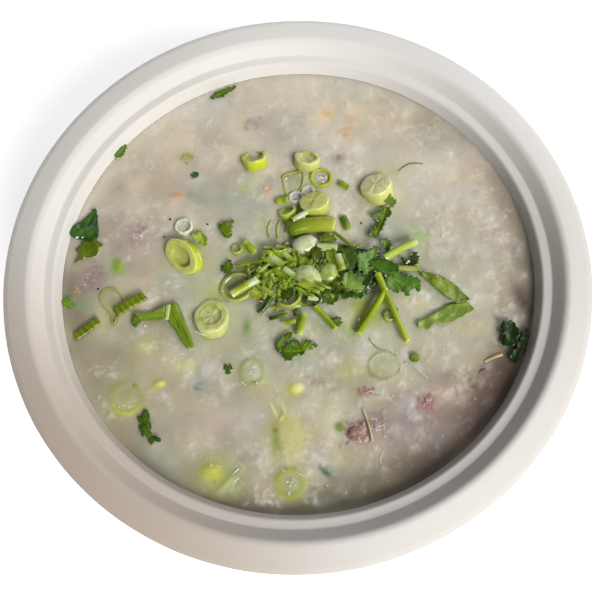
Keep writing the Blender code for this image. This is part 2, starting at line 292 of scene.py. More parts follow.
add_softbox("front softbox", -60, 38, 26, 0.92, "fffcf7")
add_softbox("side softbox", 20, 36, 50, 0.36, "fdfcff")
world = bpy.data.worlds.new("soft room")
world.use_nodes = True
world.node_tree.nodes["Background"].inputs["Color"].default_value = linear("f2f4fb")
world.node_tree.nodes["Background"].inputs["Strength"].default_value = 0.085
scene.world = world
print("table, softboxes and room are in place")

# %% [markdown]
# ## Pulp bowl
# The bowl is pressed from wet sugar cane pulp between hot moulds, so it is one thin sheet of fibre
# with soft corners, a rolled lip and a narrow ledge inside the rim. A turned shape is a section swept
# round an axis. First comes the section: the corners of its food side, each with an arc, and the same
# line again a wall's thickness below.


# %% The bowl's section
def rounded_path(corners, step):
    """Points no further apart than step along (radius, height, fillet) corners, with an arc at each."""
    points = []
    for i, (radius, height, fillet) in enumerate(corners):
        here = Vector((radius, height))
        if not fillet:
            points.append(here)
            continue
        back = (Vector(corners[i - 1][:2]) - here).normalized()
        ahead = (Vector(corners[i + 1][:2]) - here).normalized()
        half = back.angle(ahead) / 2
        centre = here + (back + ahead).normalized() * fillet / math.sin(half)
        start = here + back * fillet / math.tan(half) - centre
        sweep = start.angle_signed(here + ahead * fillet / math.tan(half) - centre)
        points += [centre + Matrix.Rotation(-sweep * k / 6, 2) @ start for k in range(7)]
    dense = [points[0]]
    for a, b in zip(points, points[1:]):
        count = max(1, math.ceil((b - a).length / step))
        dense += [a.lerp(b, (k + 1) / count) for k in range(count)]
    return dense


def sideways(points, distance):
    """The line moved to its right by distance."""
    moved = []
    for i, here in enumerate(points):
        along = (points[min(i + 1, len(points) - 1)] - points[max(i - 1, 0)]).normalized()
        moved.append(here + Vector((along.y, -along.x)) * distance)
    return moved


PULP = 1.2
# Each row: radius, height, fillet, from the middle of the floor to the lip's edge.
FOOD_SIDE = table("""
0 2.6 0
34.6 2.6 0
36 1.26 0
52.89 1.26 13
73 56.4 1.2
75.8 56.6 1
79.6 59.96 2.2
85.9 57.4 1.6
87.2 56.62 0
87.4 56.5 0
""")
food_side = rounded_path(FOOD_SIDE, 3.0)
under_side = sideways(food_side, PULP)
under_side[0].x = 0.0
section = food_side + under_side[::-1]
print(f"{len(section)} points in the section")

# %% [markdown]
# ## The turned bowl
# A Screw modifier could turn the section too, but pressed pulp never dries quite true. So a tree wraps a
# grid round the axis: every row of the grid is the section, each point reads its place from the section
# by its number, the back of the lip is lifted a little, and noise moves all by a fraction of a millimetre.

# %% The tree that turns the section
SIZES = [("Turns", "Int", 300), ("Unevenness", "Float", 0.0002), ("Back Lift", "Float", 0.001)]
tree, given = start_tree("turned pulp", SIZES)
line = given["Geometry"]
count = add_node(tree, "GeometryNodeAttributeDomainSize", {"Geometry": line}, component="MESH")
cells = {"Size X": 1.0, "Size Y": 1.0, "Vertices X": count, "Vertices Y": given["Turns"]}
grid = add_node(tree, "GeometryNodeMeshGrid", cells)
here = add_node(tree, "GeometryNodeInputPosition")
on_grid = add_node(tree, "ShaderNodeSeparateXYZ", {0: here})
asked = {"Geometry": line, "Value": here}
sample = add_node(tree, "GeometryNodeSampleIndex", asked, data_type="FLOAT_VECTOR")
on_section = add_node(tree, "ShaderNodeSeparateXYZ", {0: sample.outputs["Value"]})
known = {
    "across": on_grid.outputs["X"],
    "round": on_grid.outputs["Y"],
    "points": count,
    "tau": math.tau,
    "radius": on_section.outputs["X"],
    "height": on_section.outputs["Z"],
    "back_lift": given["Back Lift"],
}
# Each row is one arithmetic node: the name of its result, what it does, and one or two known values.
for name, operation, *values in table("""
last SUBTRACT points 1
share ADD across 0.5
place MULTIPLY share last
number ROUND place
part ADD round 0.5
turn MULTIPLY part tau
cosine COSINE turn
sine SINE turn
late SUBTRACT turn 0.3
wave SINE late
towards_back ADD wave 0.6
past_crest SUBTRACT radius 0.0795
outward DIVIDE past_crest 0.008
on_lip MAXIMUM outward 0
highest MULTIPLY towards_back back_lift
lifted MULTIPLY on_lip highest
x MULTIPLY radius cosine
y MULTIPLY radius sine
z ADD height lifted
"""):
    inputs = {i: known.get(value, value) for i, value in enumerate(values)}
    known[name] = add_node(tree, "ShaderNodeMath", inputs, operation=operation)
tree.links.new(known["number"].outputs[0], sample.inputs["Index"])
wrapped = add_node(tree, "ShaderNodeCombineXYZ", {0: known["x"], 1: known["y"], 2: known["z"]})
wobble = add_node(tree, "ShaderNodeTexNoise", {"Vector": wrapped, "Scale": 40.0, "Detail": 2.0})
shift = {0: wobble.outputs["Color"], 1: (0.5, 0.5, 0.5)}
centred = add_node(tree, "ShaderNodeVectorMath", shift, operation="SUBTRACT")
nudge = add_node(tree, "ShaderNodeVectorMath", {0: centred, "Scale": given["Unevenness"]}, operation="SCALE")
uneven = add_node(tree, "ShaderNodeVectorMath", {0: wrapped, 1: nudge})
shaped = add_node(tree, "GeometryNodeSetPosition", {"Geometry": grid, "Position": uneven})
closed = add_node(tree, "GeometryNodeMergeByDistance", {"Geometry": shaped, "Distance": 0.00001})
print(f"{len(tree.nodes)} nodes")

# %% [markdown]
# ## Moulded pulp
# Bagasse pulp is cane fibre, pressed and dried in a hot mould. It is matt and off-white and cloudy over about
# 3 cm. It is painted browner towards the front left, a painted shade, and whiter towards the back right, a
# painted light. Its fibres are about 0.1 mm thick, but are drawn at 1.2 mm with finer detail so that they
# show.

# %% Moulded pulp
pulp, shading, shader = start_material("moulded bagasse pulp", Roughness=0.62)
spot = add_node(shading, "ShaderNodeTexCoord").outputs["Object"]
cloudy = add_node(shading, "ShaderNodeTexNoise", {"Vector": spot, "Scale": 1 / 0.030, "Detail": 3.0})
ramp = add_node(shading, "ShaderNodeValToRGB", {"Fac": cloudy})
ramp.color_ramp.elements[0].color = linear("d5d2cc")
ramp.color_ramp.elements[1].color = linear("e1deda")
colour = ramp
# Painted shade and light. Each row: direction on the table, where the tone starts and is full (in metres
# that way), colour: painted shade towards the front left, painted light towards the back right.
for way_x, way_y, first, full, tone in table("""
-0.75 -0.66 0.045 0.088 c6b8aa
0.50 0.87 0.035 0.085 f1f0ed
"""):
    way = {0: spot, 1: (way_x, way_y, 0.0)}
    reach = add_node(shading, "ShaderNodeVectorMath", way, operation="DOT_PRODUCT").outputs["Value"]
    ends = {0: reach, 1: first, 2: full}
    share = add_node(shading, "ShaderNodeMapRange", ends, interpolation_type="SMOOTHSTEP")
    mix = {"Factor": share, 6: colour, 7: linear(tone)}
    colour = add_node(shading, "ShaderNodeMix", mix, data_type="RGBA").outputs[2]
shading.links.new(colour, shader.inputs["Base Color"])
fibres = add_node(shading, "ShaderNodeTexNoise", {"Vector": spot, "Scale": 1 / 0.0012, "Detail": 4.0})
press = {"Height": fibres, "Strength": 0.12, "Distance": 0.0002}
shading.links.new(add_node(shading, "ShaderNodeBump", press).outputs["Normal"], shader.inputs["Normal"])
print(f"{pulp.name}: {len(shading.nodes)} nodes")

# %% The bowl
end_tree(tree, closed, pulp)
line = make_mesh("section", [(p.x * MM, 0, p.y * MM) for p in section], [], pulp)
settle(grow(line, tree, "pulp_bowl", turns=300, unevenness=0.00025, back_lift=0.0019), "moulded_pulp", "bowl")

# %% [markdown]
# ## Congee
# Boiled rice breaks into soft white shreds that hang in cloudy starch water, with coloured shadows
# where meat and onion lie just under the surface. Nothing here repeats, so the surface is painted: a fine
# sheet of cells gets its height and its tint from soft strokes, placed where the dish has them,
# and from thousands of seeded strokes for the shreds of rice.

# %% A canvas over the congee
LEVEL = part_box("congee")[1].z / MM
WALL_SLOPE = math.tan(math.radians(20.0))
CELL = 0.25
HALF = 76.0
axis_points = np.arange(-HALF, HALF, CELL)
canvas_x, canvas_y = np.meshgrid(axis_points, axis_points)
base_tint, lit_tint = paints("c8bba4", "ddd3be")
ONION_TINT = np.array([0.93, 0.985, 0.90])
# Painted light and shade: the starch is lighter towards the back right and darker towards the front left.
lit_share = np.clip(0.5 + (0.8 * canvas_x + 0.6 * canvas_y) / 130, 0, 1)[..., None]
oniony = np.clip((26 - canvas_y) / 34, 0, 1)[..., None]
tint = (base_tint + (lit_tint - base_tint) * lit_share) * (1 + (ONION_TINT - 1) * oniony)
relief = np.zeros(canvas_x.shape)
print(f"the canvas has {len(axis_points)} cells a side; the congee's level is {LEVEL:.1f} mm")


# %% Smooth noise and brushes
def between_cells(u, v):
    """The cells below places that are counted in cells, and how far past them the places are."""
    i, j = np.floor(u).astype(int), np.floor(v).astype(int)
    return i, j, u - i, v - j


def blended(layer, i, j, s, t):
    """The mix of the four cells round each place, with shares s and t of the farther ones."""
    near = layer[j, i] * (1 - s) + layer[j, i + 1] * s
    far = layer[j + 1, i] * (1 - s) + layer[j + 1, i + 1] * s
    return near * (1 - t) + far * t


def soft_noise(x, y, cell, seed):
    """Smooth random hills about one unit high, with cells this many mm wide."""
    lattice = np.random.default_rng(seed).standard_normal((400, 400))
    i, j, s, t = between_cells(x / cell + 200, y / cell + 200)
    return blended(lattice, i % 399, j % 399, s * s * (3 - 2 * s), t * t * (3 - 2 * t))


def beside(x, y, turn, along, across=0.0):
    """The place along and across a direction of this many degrees from a point."""
    c, s = math.cos(math.radians(turn)), math.sin(math.radians(turn))
    return x + along * c - across * s, y + along * s + across * c


def cover_of(dx, dy, length, width, turn, bend=0.0, edge=2.0):
    """How much a stroke covers points this far from its middle, from 0 to 1. A large edge is sharp."""
    c, s = math.cos(math.radians(turn)), math.sin(math.radians(turn))
    along, across = (dx * c + dy * s) / length, (dy * c - dx * s) / width
    across = across + bend * (along**2 - 0.3)
    return np.exp(-((along**2 + across**2) ** (edge / 2)) * 2)


def daub(x, y, length, width, turn, colour, strength, rise=0.0, bend=0.0, edge=2.0):
    """One soft stroke of colour and height on the canvas. Length and width are halves, in mm."""
    steps = int(1.6 * max(length, width) / CELL) + 2
    row, column = (int((c + HALF) / CELL) for c in (y, x))
    part = tuple(slice(max(c - steps, 0), max(c + steps, 0)) for c in (row, column))
    cover = cover_of(canvas_x[part] - x, canvas_y[part] - y, length, width, turn, bend, edge)
    mix = (cover * strength)[..., None]
    tint[part] = tint[part] * (1 - mix) + np.array(linear(colour)[:3]) * mix
    relief[part] += cover * rise


print("the brushes are ready")

# %% [markdown]
# ## Cloudy patches
# The starch is grey-white over meat, green over onion, orange over carrot and whiter where it is clean.
# Along the shore, dark patches are painted shade of the rim, over meat at the front right.
# These tones are wide and have no edge, so they go on first, under the grains of rice.

# %% Washes
# Each row: x, y, half length, half width, turn, colour, strength. Broth, meat with painted shade of the rim
# along the shore, greens, carrot, white.
WASHES = table("""
8 -34 40 20 0 bdba95 0.7
32 4 20 24 0 b6b99f 0.85
-18 25 15 15 0 b5b7a3 0.85
34 53 17 12 -20 cfc1a5 0.75
-36 36 11 9 20 cabba5 0.7
-38 -27 18 14 0 beb798 0.7
-32 3 14 13 0 b8b79c 0.7
0 0 30 14 0 b2b794 0.6
44 6 8 12 0 c8c2ae 0.4
32 -45 17 12 20 bea097 0.8
-5 52 12 7 10 bcb0a6 0.6
-9 54.5 4 2.6 10 a0948e 0.55
3 42.5 8 5 15 b8aca2 0.5
17.6 38.3 5 3 0 a2948b 0.6
-23.5 49.7 7 5 -20 baac9f 0.55
18 56 14 7 0 e6d8b6 0.5
-49.4 17 6.5 7 30 a8968f 0.75
-48.5 19 2.6 4.4 -15 947a74 0.6
-62 5 7 7.5 0 96837a 0.8
-56 20 8 10 30 b3a79b 0.6
-42 22 9 8 0 beb2a6 0.5
-67 -8 6 14 0 857f6a 0.8
-34 -30 12 9 0 c4b8a8 0.5
-58 -24 12 14 0 a9a288 0.6
-48 -46 15 9 -38 948e76 0.75
-26 -62 14 6 -18 9a9578 0.7
55 -42 14 9 52 6b5146 0.95
46 -50 10 8 45 8a7468 0.8
40 -38 9 5 -20 93817a 0.6
44 -30 8 6 0 b0a296 0.5
62 -22 5 10 10 8f8474 0.65
26 -60 15 7 20 857a6e 0.75
27 -48 9 7 0 aa9c98 0.65
0 -68 27 5.5 0 87866c 0.8
0 2 34 17 0 c2c7b4 0.5
-4 -22 30 8 0 c4c7b0 0.45
-28 -6 12 10 0 c2c2ae 0.45
60 8 5 8 0 c0b3aa 0.5
54 -4 6 8 0 ccbfae 0.4
24 -68 20 5.5 20 5e5248 0.75
-46 -55 12 4.5 -42 7c7662 0.6
60 -14 5 9 0 b3a798 0.4
-70 2 6 12 0 6f675a 0.6
-50 8 8 5 0 a89c90 0.6
-2 31 8 6 0 b0b09a 0.5
24 26 10 8 0 b4b6a4 0.45
-54.7 8.9 3.6 3.4 0 7ea62c 0.85
18.4 -13.6 5 6.5 0 b3bf52 0.95
14.8 -19 4 5 0 b8c468 0.8
22.4 -16 4.5 7 -20 b4c064 0.7
-24 -3 7 5 0 bcc67a 0.7
-16 8 6 4 20 c4cc90 0.6
-56.6 10.6 2 1.6 0 cfd6b6 0.5
-46.9 -18 5 3.6 0 ccd074 0.75
-34.2 -25.4 5.4 2.6 0 d4d884 0.85
-32.6 -31.8 4 2.4 -8 8ea294 0.75
12.8 -31.6 4.6 2.6 10 bcc858 0.8
39.1 8.8 5 3.4 0 9fc463 0.6
33 31 5.5 4.5 0 c3c98a 0.5
-27.9 28.4 5 4 0 9fa890 0.55
-31.2 43.8 3.4 3.2 0 b9bc78 0.75
3.4 -60.2 3.6 2 -50 446a42 0.9
-16.3 -15.4 1.9 4 -8 7b9a56 0.85
-46 -56 6 3 -40 a9b39a 0.5
-66 -2.6 3.4 3 0 8fae72 0.7
-70.5 -12 3 4 0 c4c78a 0.6
26.2 -56 1.4 2.2 0 86a05a 0.7
8 -48.5 2 2 0 7fb43c 0.8
-28.4 -53 8 5 -30 bdbb74 0.5
-8 -48 6 9 0 c9cf84 0.45
14.9 55.2 2.6 1.8 0 e4b478 0.75
20.3 47.3 4 2.4 40 e0b888 0.7
22.6 51.4 2.8 1.8 60 e2ba8a 0.65
-34.6 30.8 3.6 2 0 dcb48c 0.6
-19 5.6 2.4 1.4 0 d0b494 0.6
-31 30.8 2.4 1.8 0 8fa48c 0.5
-9 13.4 2.8 2.2 0 e6e8e2 0.65
-13 24 4 3 0 d6d6cc 0.4
-27.5 36 3 2 0 e2e4dc 0.5
-25 33 8 6 0 c6c8bc 0.4
-38 -20 3 2 0 dcd8c8 0.5
27 12 8 6 0 b2bab2 0.5
45 3 3 6 10 a9b5ae 0.45
54 22 8 12 0 e6dfd2 0.5
50 30 12 8 -40 e2dbc8 0.4
22 -22 10 6 0 dcdccc 0.4
8 -44 8 8 0 dad8c4 0.5
-6 24 5 4 0 c6c8bc 0.4
""")
# The rim's brown shadow on the starch. Each row: first and last angle, radius, width, colour, strength.
SHORE_SHADES = table("""
-50 46 66.5 8 a08f80 0.5
-40 20 69.5 4 7c6a5e 0.45
-134 -50 69 5.5 776a5c 0.5
-190 -136 69 5.5 8e8270 0.45
""")
for patch in WASHES:
    daub(*patch)
for first, last, radius, width, colour, strength in SHORE_SHADES:
    for angle in range(int(first), int(last) + 1, 6):
        daub(*beside(0, 0, angle, radius), width, 9.0, angle, colour, strength * 0.55)
# The starch is greener over and round each piece of onion.
for node in frame["nodes"]:
    if node.startswith("onion_"):
        low, high = (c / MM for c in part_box(node))
        middle, size = (low + high) / 2, high - low
        daub(middle.x, middle.y - 0.6, size.x * 0.72, size.y * 0.72, 0, "c2ca80", 0.6, rise=0.3)
print(f"{len(WASHES)} washes")

# %% [markdown]
# ## Curds of rice
# Each grain bursts into a clump of white shreds 1 to 3 mm long. They are short bent strokes, two to
# seven round each clump, and they crowd where noise and the bowl's right side say so. Over them lie the
# painted brown shade of the rim at the front right, partly over meat, and fine noise that makes the whole
# uneven.

# %% Curds
# Rows as for the washes.
# Painted shade: the dark rows are the rim's shadow at the front right, over meat. The pale rows lighten the
# starch.
TOP_SHADES = table("""
55 -40 11 8 55 5e463c 0.75
46 -49 12 7 42 6a564c 0.7
36 -49 9 5 30 94827e 0.5
34 -60 13 7 30 5c4c44 0.7
24 -54 12 8 10 a08c84 0.5
16 -63 14 5 12 6e6054 0.6
7 -62 6 4 5 8c8874 0.4
62 -28 5 8 20 4a3a32 0.6
38.5 -38.5 5 4 0 ccb8ac 0.45
26 -44 5 3 0 dccabc 0.45
-18 -43 11 8 0 e6dad0 0.3
-31 -45 10 8 0 cbb8ae 0.4
-26 -42 18 11 0 d2c6c2 0.25
-43 -50.5 11 4.6 -42 bdbca6 0.75
-47 -44 5 4 -60 c8c0aa 0.45
0 -42 5 7 0 eae8cc 0.45
8 -48 7 7 0 e2e0cc 0.25
20 -27 8 5 0 e6e2cc 0.3
-28 -27 4 5 0 e2dcd0 0.6
0 -66 9 4 4 8c8670 0.6
-26 -65 6 3 -20 a09a7c 0.5
66 -15 4.4 9 8 54423a 0.85
67 2 3.5 12 0 9c8c7e 0.45
57 -33 6 6 20 644e42 0.55
50 -41 6 6 30 705a50 0.5
""")
CLUMPS = 700
CURD_WHITES = ("ece6d8", "e6dfd0", "f2ede2", "e2dbcb")
FOOD_RADIUS = 69.0
COOLING = np.array([0.98, 1.0, 1.03])
dice = np.random.default_rng(7)
crowding = 0.32 + 0.2 * soft_noise(canvas_x, canvas_y, 9.0, 3) + 0.0035 * (canvas_x - 0.7 * canvas_y)
clumps = curds = 0
while clumps < CLUMPS:
    x, y = dice.uniform(-71, 71, 2)
    likely = crowding[int((y + HALF) / CELL), int((x + HALF) / CELL)]
    if math.hypot(x, y) > FOOD_RADIUS or dice.random() > likely:
        continue
    clumps += 1
    long, wide = dice.uniform(1.5, 3.6, 2)
    daub(x, y, long, wide, dice.uniform(0, 180), "e6dfd2", dice.uniform(0.06, 0.26), rise=0.05)
    for count in range(dice.integers(2, 8)):
        bright = dice.uniform(0.10, 0.52)
        spot_x, spot_y = x + dice.normal(0, 1.3), y + dice.normal(0, 1.3)
        turn, long, wide = dice.uniform(0, 180), dice.uniform(0.5, 1.7), dice.uniform(0.3, 0.7)
        bend = dice.uniform(-0.9, 0.9)
        daub(spot_x, spot_y, long, wide, turn, CURD_WHITES[count % 4], bright, 0.25 * bright, bend)
        curds += 1
for patch in TOP_SHADES:
    daub(*patch)
for cell, height, seed in ((9.0, 0.12, 11), (3.6, 0.05, 12), (1.4, 0.02, 13)):
    relief += height * soft_noise(canvas_x, canvas_y, cell, seed)
for cell, share, seed in ((11.0, 0.04, 20), (6.0, 0.045, 21), (2.4, 0.025, 22), (0.8, 0.012, 23)):
    tint *= 1 + share * soft_noise(canvas_x, canvas_y, cell, seed)[..., None]
pinker = soft_noise(canvas_x, canvas_y, 7.0, 24) + 0.6 * soft_noise(canvas_x, canvas_y, 3.0, 25)
tint[..., 0] *= 1 + 0.02 * pinker
tint[..., 2] *= 1 - 0.03 * pinker
tint = np.clip(tint * COOLING, 0.01, 0.93)
print(f"{curds} curds, relief from {relief.min():.2f} to {relief.max():.2f} mm")

# %% [markdown]
# ## What lies just under the starch
# A cut of onion 1 mm down still shows its ring, but blurred and pale, and the starch bulges over it.
# Real pieces there would need clear starch round them, so they are painted: strokes for their bodies,
# arcs of strokes for rings, and a spray of short strokes for mince that has fallen apart.

# %% Sunk pieces
# Rows as for the washes, then rise, bend and sharpness where they matter.
# Painted highlight: the near-white stroke at -2.2, -34.9 is a glint on the yellow bit. Painted reflection:
# the pale grey-blue stroke at 37, -53 is a sheen of the room on the wet starch in the rim's shadow.
SOFT_STROKES = table("""
37 -53 7 2.4 40 96929e 0.45
18.2 -13.4 3.6 5.8 0 b2be58 0.75
14 -19.4 3 4.6 -20 b8c46c 0.6
22 -16.4 2.8 6.4 -20 b4bf66 0.6
24 -24 3 4 0 c6cc90 0.4
-24.6 -4.8 6.4 4.4 0 b4c064 0.6
-15 9.6 7 3.4 10 bac480 0.5
-8.6 16.6 3.6 7 0 b6c072 0.55
2 24.6 9 7 0 c2c8a0 0.4
0 -17.4 9 4.4 0 bec690 0.4
27 19 9 6 0 bac49a 0.4
-13.2 31.4 4.4 3.4 0 c0cc64 0.5
-54.6 8.4 2.2 3.2 10 84a62e 0.95 0.25 0 3
-53.6 7.2 1.2 1.4 0 a4b83c 0.8
-53 -33.2 6.4 6 0 b6b880 0.7
-52.4 -31.4 3.2 2.8 0 a6a88c 0.72 -0.1
-27.6 -59.3 8 6.8 20 b6ba72 0.66
-29.4 -57.4 4 3.2 0 cbd04e 0.95 0.45 0 3
-28.6 -56.6 2.2 1.4 20 dadf7c 0.6 0.1
-28.8 -60.1 1 0.8 0 8a9030 0.6
-24.4 -60.3 6.4 1.7 40 c3ca86 0.84 0.5
-22.2 -62.3 3.2 1.8 40 b4c07a 0.48 0.1
-7.2 -62.4 5.8 5.4 0 b2b77a 0.66 0.2
-7 -62.6 2.4 2.6 0 b9bf94 0.72 0.1
-15.6 -29.4 2.1 2.4 0 c4c4b2 0.72 0.1
-15.2 -34 0.5 1.2 0 9ca468 0.6
-18.2 -28.4 0.6 0.5 0 6a7a2c 0.6
-7.6 -48.4 6.6 9.4 0 c6c47e 0.8
-6.2 -49.2 4.4 7.4 4 d2ce8e 1 0.35 0 5
-10.4 -50 1.9 6 3 a9ae5c 0.9 0.15
-10.3 -47.2 1.1 1 0 828a30 0.78
-10.8 -54.2 2.2 1.8 -20 c0c488 0.72 0.1
-9.4 -41 2.6 3.4 0 c4c68a 0.55
-10.5 -41 0.55 3.4 20 e4e5a4 1 0.3 0.2 3
-7.6 -41 0.55 2.4 14 e2e49c 1 0.3 -0.4 3
-8.3 -43.8 0.6 1.5 -34 e8ea96 1 0.3 0 3
-4.4 -35.8 4 2.6 0 ccd060 0.8
-3.2 -35.5 2.1 1.9 0 f2f282 1 0.45 0 4
-2.2 -34.9 0.9 1.2 -20 fafad0 1 0.1
-43.4 -30.6 2.8 1.6 24 ccd068 0.9 0.2 0 3
-42.6 -30 1.5 1.1 0 e4e488 0.95 0.3 0 4
-32.2 -32.6 1.5 0.3 -14 4c5c50 0.85
23 -31.4 3.6 3.2 0 c6c8ae 0.54
1.7 30.8 4.4 4.6 0 acb28e 0.9
2.1 30.4 1.2 2.2 10 c2c6a8 0.72
3.5 31.6 0.7 2.4 -10 9ba676 0.6
10.9 31.7 3.2 3 0 b4b48e 0.95
10.7 31.5 1.9 1.9 0 cfc9b8 0.95 0.2
11.4 32.3 0.5 0.4 0 5a554c 0.95
10.3 30.8 0.4 0.3 0 6a655a 0.95
11.6 31.2 0.3 0.4 0 4c4840 0.95
10 32.4 0.3 0.3 0 77726a 0.84
-56.3 -2.9 3.4 4 0 9c9a78 0.75
2.4 -60.2 3.4 1.2 -48 3c6046 0.85
14.4 -49.6 8.5 6.5 15 ad9890 0.66
33.6 -43.2 5 4 0 a8928e 0.48
-48.8 17.6 7 6.6 20 b09e98 0.54
-62.4 5.2 6 6.4 0 a89690 0.72
-6.2 29 2.4 2.2 0 d8b896 0.9 0.15
-6 28.8 1.1 1 0 e0b084 0.72 0.1
-34.8 30.6 3.2 1.5 -8 d8b08c 0.95 0.2
-33.8 30.5 1.2 0.7 -8 dca474 0.72 0.1
-37.8 31.2 1.4 1.2 0 b8b49c 0.6
-46.2 3.9 1.3 1.1 0 d6b494 0.84 0.12
-67.2 1.8 1 1.2 0 c89450 0.95 0.25
8.1 -48.1 1.6 1.9 30 7c9c22 0.95 0.3 0 4
9 -46.5 1 1.2 0 a4b868 0.6
8.4 -47.9 0.6 0.9 20 5f8414 0.72
20.4 -40.6 4.2 0.62 -14 d2ccb2 0.95 0.22 0.9 3
24.4 -42.8 2 0.5 -40 cac4aa 0.72 0.15
21.8 -38.8 0.4 0.9 20 d8d4c4 0.6 0.1
54.6 -31.8 2.8 0.42 12 cdb98a 0.84 0.15
55 -30.2 3.6 2 20 c2ab84 0.48
""")
# Each row: x, y, half length, half width, turn, count, colours.
# The spray at 48.6, -37.4 lies in the rim's shadow, and its darker colours are a painted shade over the
# meat's own.
SUNK_FIBRES = table("""
12.4 -49.6 4.2 4 20 90 9c7870 86625a b08e84 7a564c bea096
19.4 -47.4 3.4 3.4 60 50 b29892 9c807a c2aca6 8c7068
17.2 -38.6 3.2 1.6 8 30 b68a82 a07068 c8a098
33.4 -43.2 3.4 3 30 44 b0807a 9a6a64 c69a94
48.6 -37.4 6 4 40 50 90746a 7c6056 a48a7e b8a298
-47.6 19.2 2.2 3.8 -15 44 b09690 96786f c8b2aa d8c8c0
-52.2 16.2 2.8 2.4 20 24 b8a49c a48c84 cfc0b8
-61.8 6.6 3.4 3 40 34 ac9890 9c847c bcaaa4 8a746c
-64.4 2.8 2.4 2 0 18 a08c84 b8a69e 90786e
2.6 -34 2 1.6 0 14 bea79a b4948a cdb9ae
20.6 47.6 3.4 2.2 40 24 d8b896 c8a486 e2c8a8
17.6 38.4 3 1.6 0 20 b4a094 a48c80 c4b2a8
-8.6 54 3.6 2.2 10 26 ab9c94 988880 c0b2aa
""")
# Each row: x, y, radius, squash, first and last angle, width of the line, colour, strength, rise.
SUNK_ARCS = table("""
-53 -33.4 4.6 1 80 390 1.7 a2a653 0.55 0.1
-52.8 -33.6 4.2 1 200 330 1.1 c4c840 0.8 0.2
-7.2 -62.4 3.9 1 60 300 1.4 b0b83a 0.85 0.15
-7.2 -62.4 3.7 1 -60 60 1.1 bcc45a 0.7 0.15
-15.6 -29.4 3.3 1.15 0 360 1.05 9ca44c 0.62 0.3
23 -31.4 4.6 0.92 75 290 0.55 949c34 0.75 0.22
23 -31.4 4.6 0.92 -70 20 0.45 b4b87c 0.4 0.12
""")
for stroke in SOFT_STROKES:
    daub(*stroke)
dice = np.random.default_rng(31)
for x, y, length, width, turn, count, *words in SUNK_FIBRES:
    for k in range(int(count)):
        spot = beside(x, y, turn, length * dice.normal(0, 0.5), width * dice.normal(0, 0.5))
        long, wide, way = dice.uniform(0.5, 1.4), dice.uniform(0.35, 0.6), dice.uniform(0, 180)
        daub(*spot, long, wide, way, words[k % len(words)], dice.uniform(0.3, 0.8), rise=0.05)
for x, y, radius, squash, first, last, line, colour, strength, rise in SUNK_ARCS:
    count = max(2, round(abs(last - first) / 360 * math.tau * radius / (line * 0.55)))
    for k in range(count):
        way = math.radians(first + (last - first) * (k + 0.5) / count)
        spot = x + radius * math.cos(way), y + radius * squash * math.sin(way)
        daub(*spot, line, line * 0.8, 0, colour, strength * 0.55, rise * 0.55)
print(f"{len(SOFT_STROKES)} strokes, {len(SUNK_ARCS)} arcs and {len(SUNK_FIBRES)} sprays of fibres")

# %% [markdown]
# ## The congee's body
# A plain grid of quads, pushed out from a square to a disc, has no pole in the middle and even faces
# everywhere. Its points read height and tint from the canvas, and cling to the wall at the edge. Two
# rings and a point close the body below, down to the bowl's floor.


# %% Congee surface
def on_canvas(layer, x, y):
    """A layer of the canvas at these points, between its cells as well as on them."""
    i, j, s, t = between_cells((x + HALF) / CELL, (y + HALF) / CELL)
    if layer.ndim == 3:
        s, t = s[..., None], t[..., None]
    return blended(layer, i, j, s, t)


def wall_radius(height):
    """The inner wall's radius at a height, both in mm."""
    return 73.0 - (56.4 - height) * WALL_SLOPE


DIP, CALM_WIDTH, CLING, CLING_WIDTH = 0.25, 3.0, 0.45, 1.6


def surface_height(x, y):
    """The congee's height in mm. Near the wall its relief fades, and it clings to the wall."""
    shore = np.clip(wall_radius(LEVEL) - np.hypot(x, y), 0, None)
    calm = np.clip(shore / CALM_WIDTH, 0, 1)
    return LEVEL - DIP + on_canvas(relief, x, y) * calm + CLING * np.exp(-shore / CLING_WIDTH)


SIDE = 308
lattice_u, lattice_v = np.meshgrid(np.linspace(-1, 1, SIDE + 1), np.linspace(-1, 1, SIDE + 1))
reach = wall_radius(LEVEL + 0.2) + 0.15
top_x = (lattice_u * np.sqrt(1 - lattice_v**2 / 2) * reach).ravel()
top_y = (lattice_v * np.sqrt(1 - lattice_u**2 / 2) * reach).ravel()
top = np.stack([top_x, top_y, surface_height(top_x, top_y)], 1)
rows = np.arange(SIDE)[:, None] * (SIDE + 1) + np.arange(SIDE)[None, :]
faces = np.stack([rows, rows + 1, rows + SIDE + 2, rows + SIDE + 1], -1).reshape(-1, 4).tolist()
first, last = np.arange(SIDE), np.arange(SIDE, 0, -1)
corner = SIDE * (SIDE + 1)
edge = np.concatenate([first, first * (SIDE + 1) + SIDE, corner + last, last * (SIDE + 1)])
points, ring, start = [top], edge, len(top)
for height, radius in ((30.0, wall_radius(30.0)), (3.3, 50.0)):
    points.append(top[edge] * [radius / reach, radius / reach, 0] + [0, 0, height])
    lower = np.arange(start, start + len(edge))
    faces += np.stack([np.roll(ring, -1), ring, lower, np.roll(lower, -1)], 1).tolist()
    ring, start = lower, start + len(edge)
points = np.concatenate(points + [[[0.0, 0.0, 3.0]]])
faces += [(b, a, start) for a, b in zip(ring.tolist(), np.roll(ring, -1).tolist())]
tints = np.ones((len(points), 4))
tints[:, :3] = base_tint
tints[: len(top), :3] = on_canvas(tint, top_x, top_y)
# The starch shows fewer threads in the shade at the front right.
dimmed = cover_of(top_x - 36, top_y + 52, 26, 15, 32)
tints[: len(top), 3] = np.clip(tints[: len(top), :3].mean(1) / 0.55, 0.1, 1) ** 3 * (1 - 0.5 * dimmed)
print(f"{len(points)} points, {len(faces)} faces")

# %% [markdown]
# ## Boiled rice starch
# Starch gel is milky, so light goes a few millimetres into it and shadows on it have soft edges. Threads
# of rice 0.3 to 2 mm wide gather in clumps about 8 mm across: distorted noise gives a thin line where it
# crosses its middle value and a wider shred where it is high. The wet skin has small uneven glints from a
# bump 1 mm wide. The tint's fourth value says how many threads there are.

